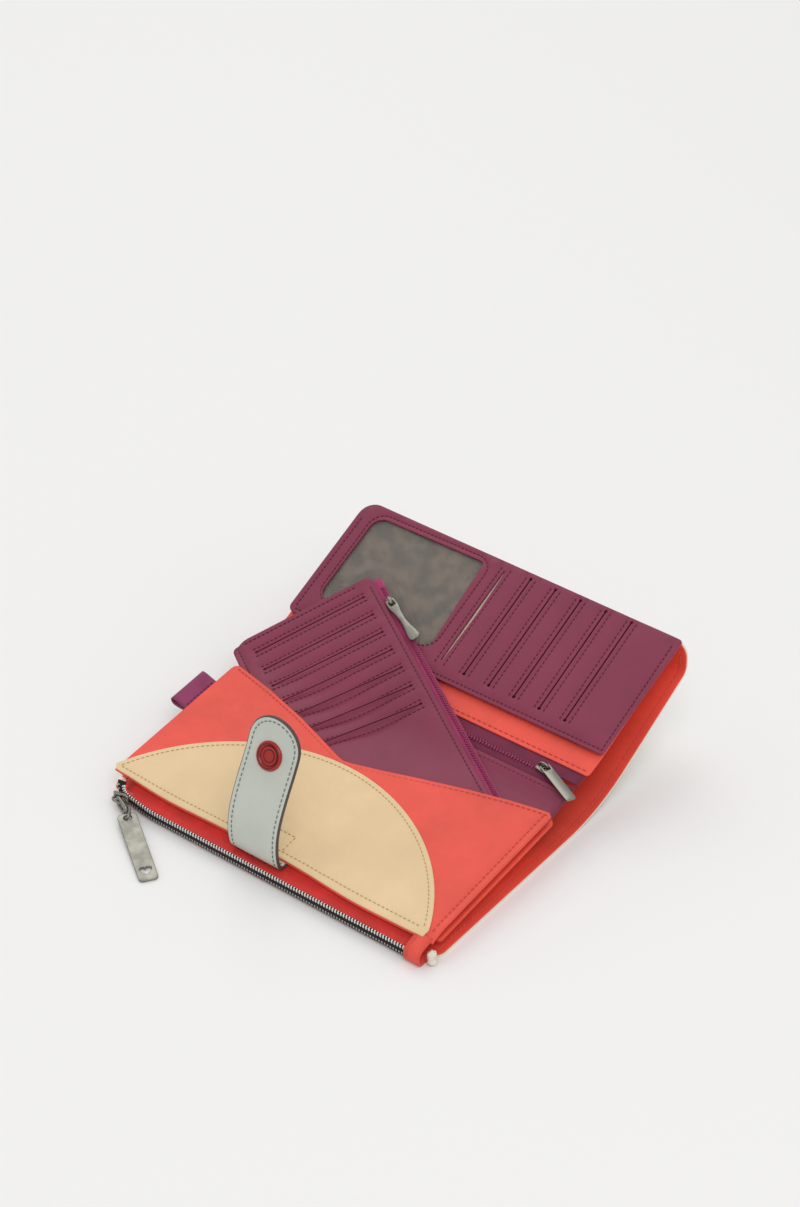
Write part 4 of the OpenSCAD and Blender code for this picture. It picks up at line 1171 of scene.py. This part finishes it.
HL, HW = 178.0, 78.4
h_out = rrect(0, -HW, HL, 0, (3, 3, 3, 9.5))
h_slots = [10.5 + 12.3 * i for i in range(7)]
h_lines = [[(u + q, v0) for v0 in (-69.5, -6.5)] for u in h_slots for q in (-2.4, 2.4)]
h_lines += [[(6, -2.4), (HL - 3, -2.4)], [(2.5, -75.6), (HL - 3, -75.6)], [(HL - 3, -72), (HL - 3, -5)],
            [(2.4, -72), (2.4, -9)]]
ZIP_V = -2.8
us = np.arange(9, 172.1, 3.0)
coil_path = holder_at(us, np.full(len(us), ZIP_V), np.full(len(us), 1.7))


def h_across(c):
    i = int(np.argmin(np.linalg.norm(coil_path - c, axis=1)))
    return unit(holder_point(us[i], ZIP_V - 0.5) - holder_point(us[i], ZIP_V + 0.5))


soft = [
    plate("holder_front_skin", h_out, hold_map(0), 0.9, "purple",
          holes=[slit(u, -68.0, -8.0, 0.8) for u in h_slots],
          lines=lanes(*h_lines), body="holder", nodes="holder_front",
          relief=both(groove(h_lines, 0.28, 0.75, 0.15, 3.0), gape(h_slots, -38, 22, 0.3, 2.0))),
    stitches("holder_stitches", h_lines, hold_map(0), "thread_purple", lift=0.05, body="holder", **FINE),
    plate("holder_back_skin", h_out, lambda u, w, d: holder_at(HL - u, -w, 3.4 - d), 0.9, "purple", step=4.0,
          body="holder", nodes="holder_back"),
    # Painted shade: a thin near-black sheet under the holder's front darkens its slot mouths.
    plate("holder_shade_sheet", rrect(6, -70.5, 90, -5.5, 1), hold_map(0.92), 0.05, "dark", r=0.01, step=6,
          body="holder"),
    plate("holder_lining_skin", rrect(4, -72, HL - 6, -5, 2), hold_map(1.0), 0.4, "cream_lining", r=0.1,
          step=6.0, body="holder", nodes="holder_slot_linings"),
    plate("holder_gusset_skin", rrect(1.0, -HW + 1.0, HL - 1.0, -2.6, (3, 3, 3, 8.5)), hold_map(0.85), 1.7,
          "purple_edge", r=0.5, step=5.0, body="holder"),
    plate("holder_tape_skin", rrect(3, -3, HL - 4, 4.4, 0.8), hold_map(1.5), 0.6, "holder_tape", r=0.15,
          step=2.5, body="holder", nodes="holder_zip_tape"),
    coil_mesh(coil_path, h_across, 1.1, 1.5, 0.34, 0.62).make(
        "holder_coil_skin", "magenta_coil", body="holder", nodes="holder_zip_coil")]
zip_o = holder_point(21.5, ZIP_V)
h_x = unit(holder_point(22.5, ZIP_V) - zip_o)
h_n = np.array([0, *direction(HIGH_A + 90)])
HR = np.stack([h_x, np.cross(h_n, h_x), h_n], 1)
slider = coil_slider_mesh(1.1, 4.2)
slider.move(HR, zip_o)
soft.append(slider.make("holder_slider_skin", "zip_metal", body="holder_runner", nodes="holder_zip_slider"))
PULL_L = 27.0
edge_low = [(-1.5, -2.4), (3.6, -2.5), (8, -1.7), (PULL_L * 0.5, -1.25), (PULL_L * 0.68, -1.7),
            (PULL_L * 0.82, -2.5), (PULL_L - 1.0, -2.8), (PULL_L, -1.8)]
soft.append(plate(
    "holder_puller_skin", edge_low + [(x, -y) for x, y in edge_low[::-1]],
    bar_at(HR @ turn("z", 5), zip_o + HR @ np.array([0.8, 0, 3.3]), 0.9), 0.9, "zip_metal",
    holes=[rrect(-0.2, -1.4, 2.8, 1.4, 0.5)], r=0.25, step=1.6, edge=0.8, body="holder_pull",
    nodes="holder_zip_puller"))
for o in soft:
    tuple(holder_point(HL, HW / 2) / 1000)
    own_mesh(o)
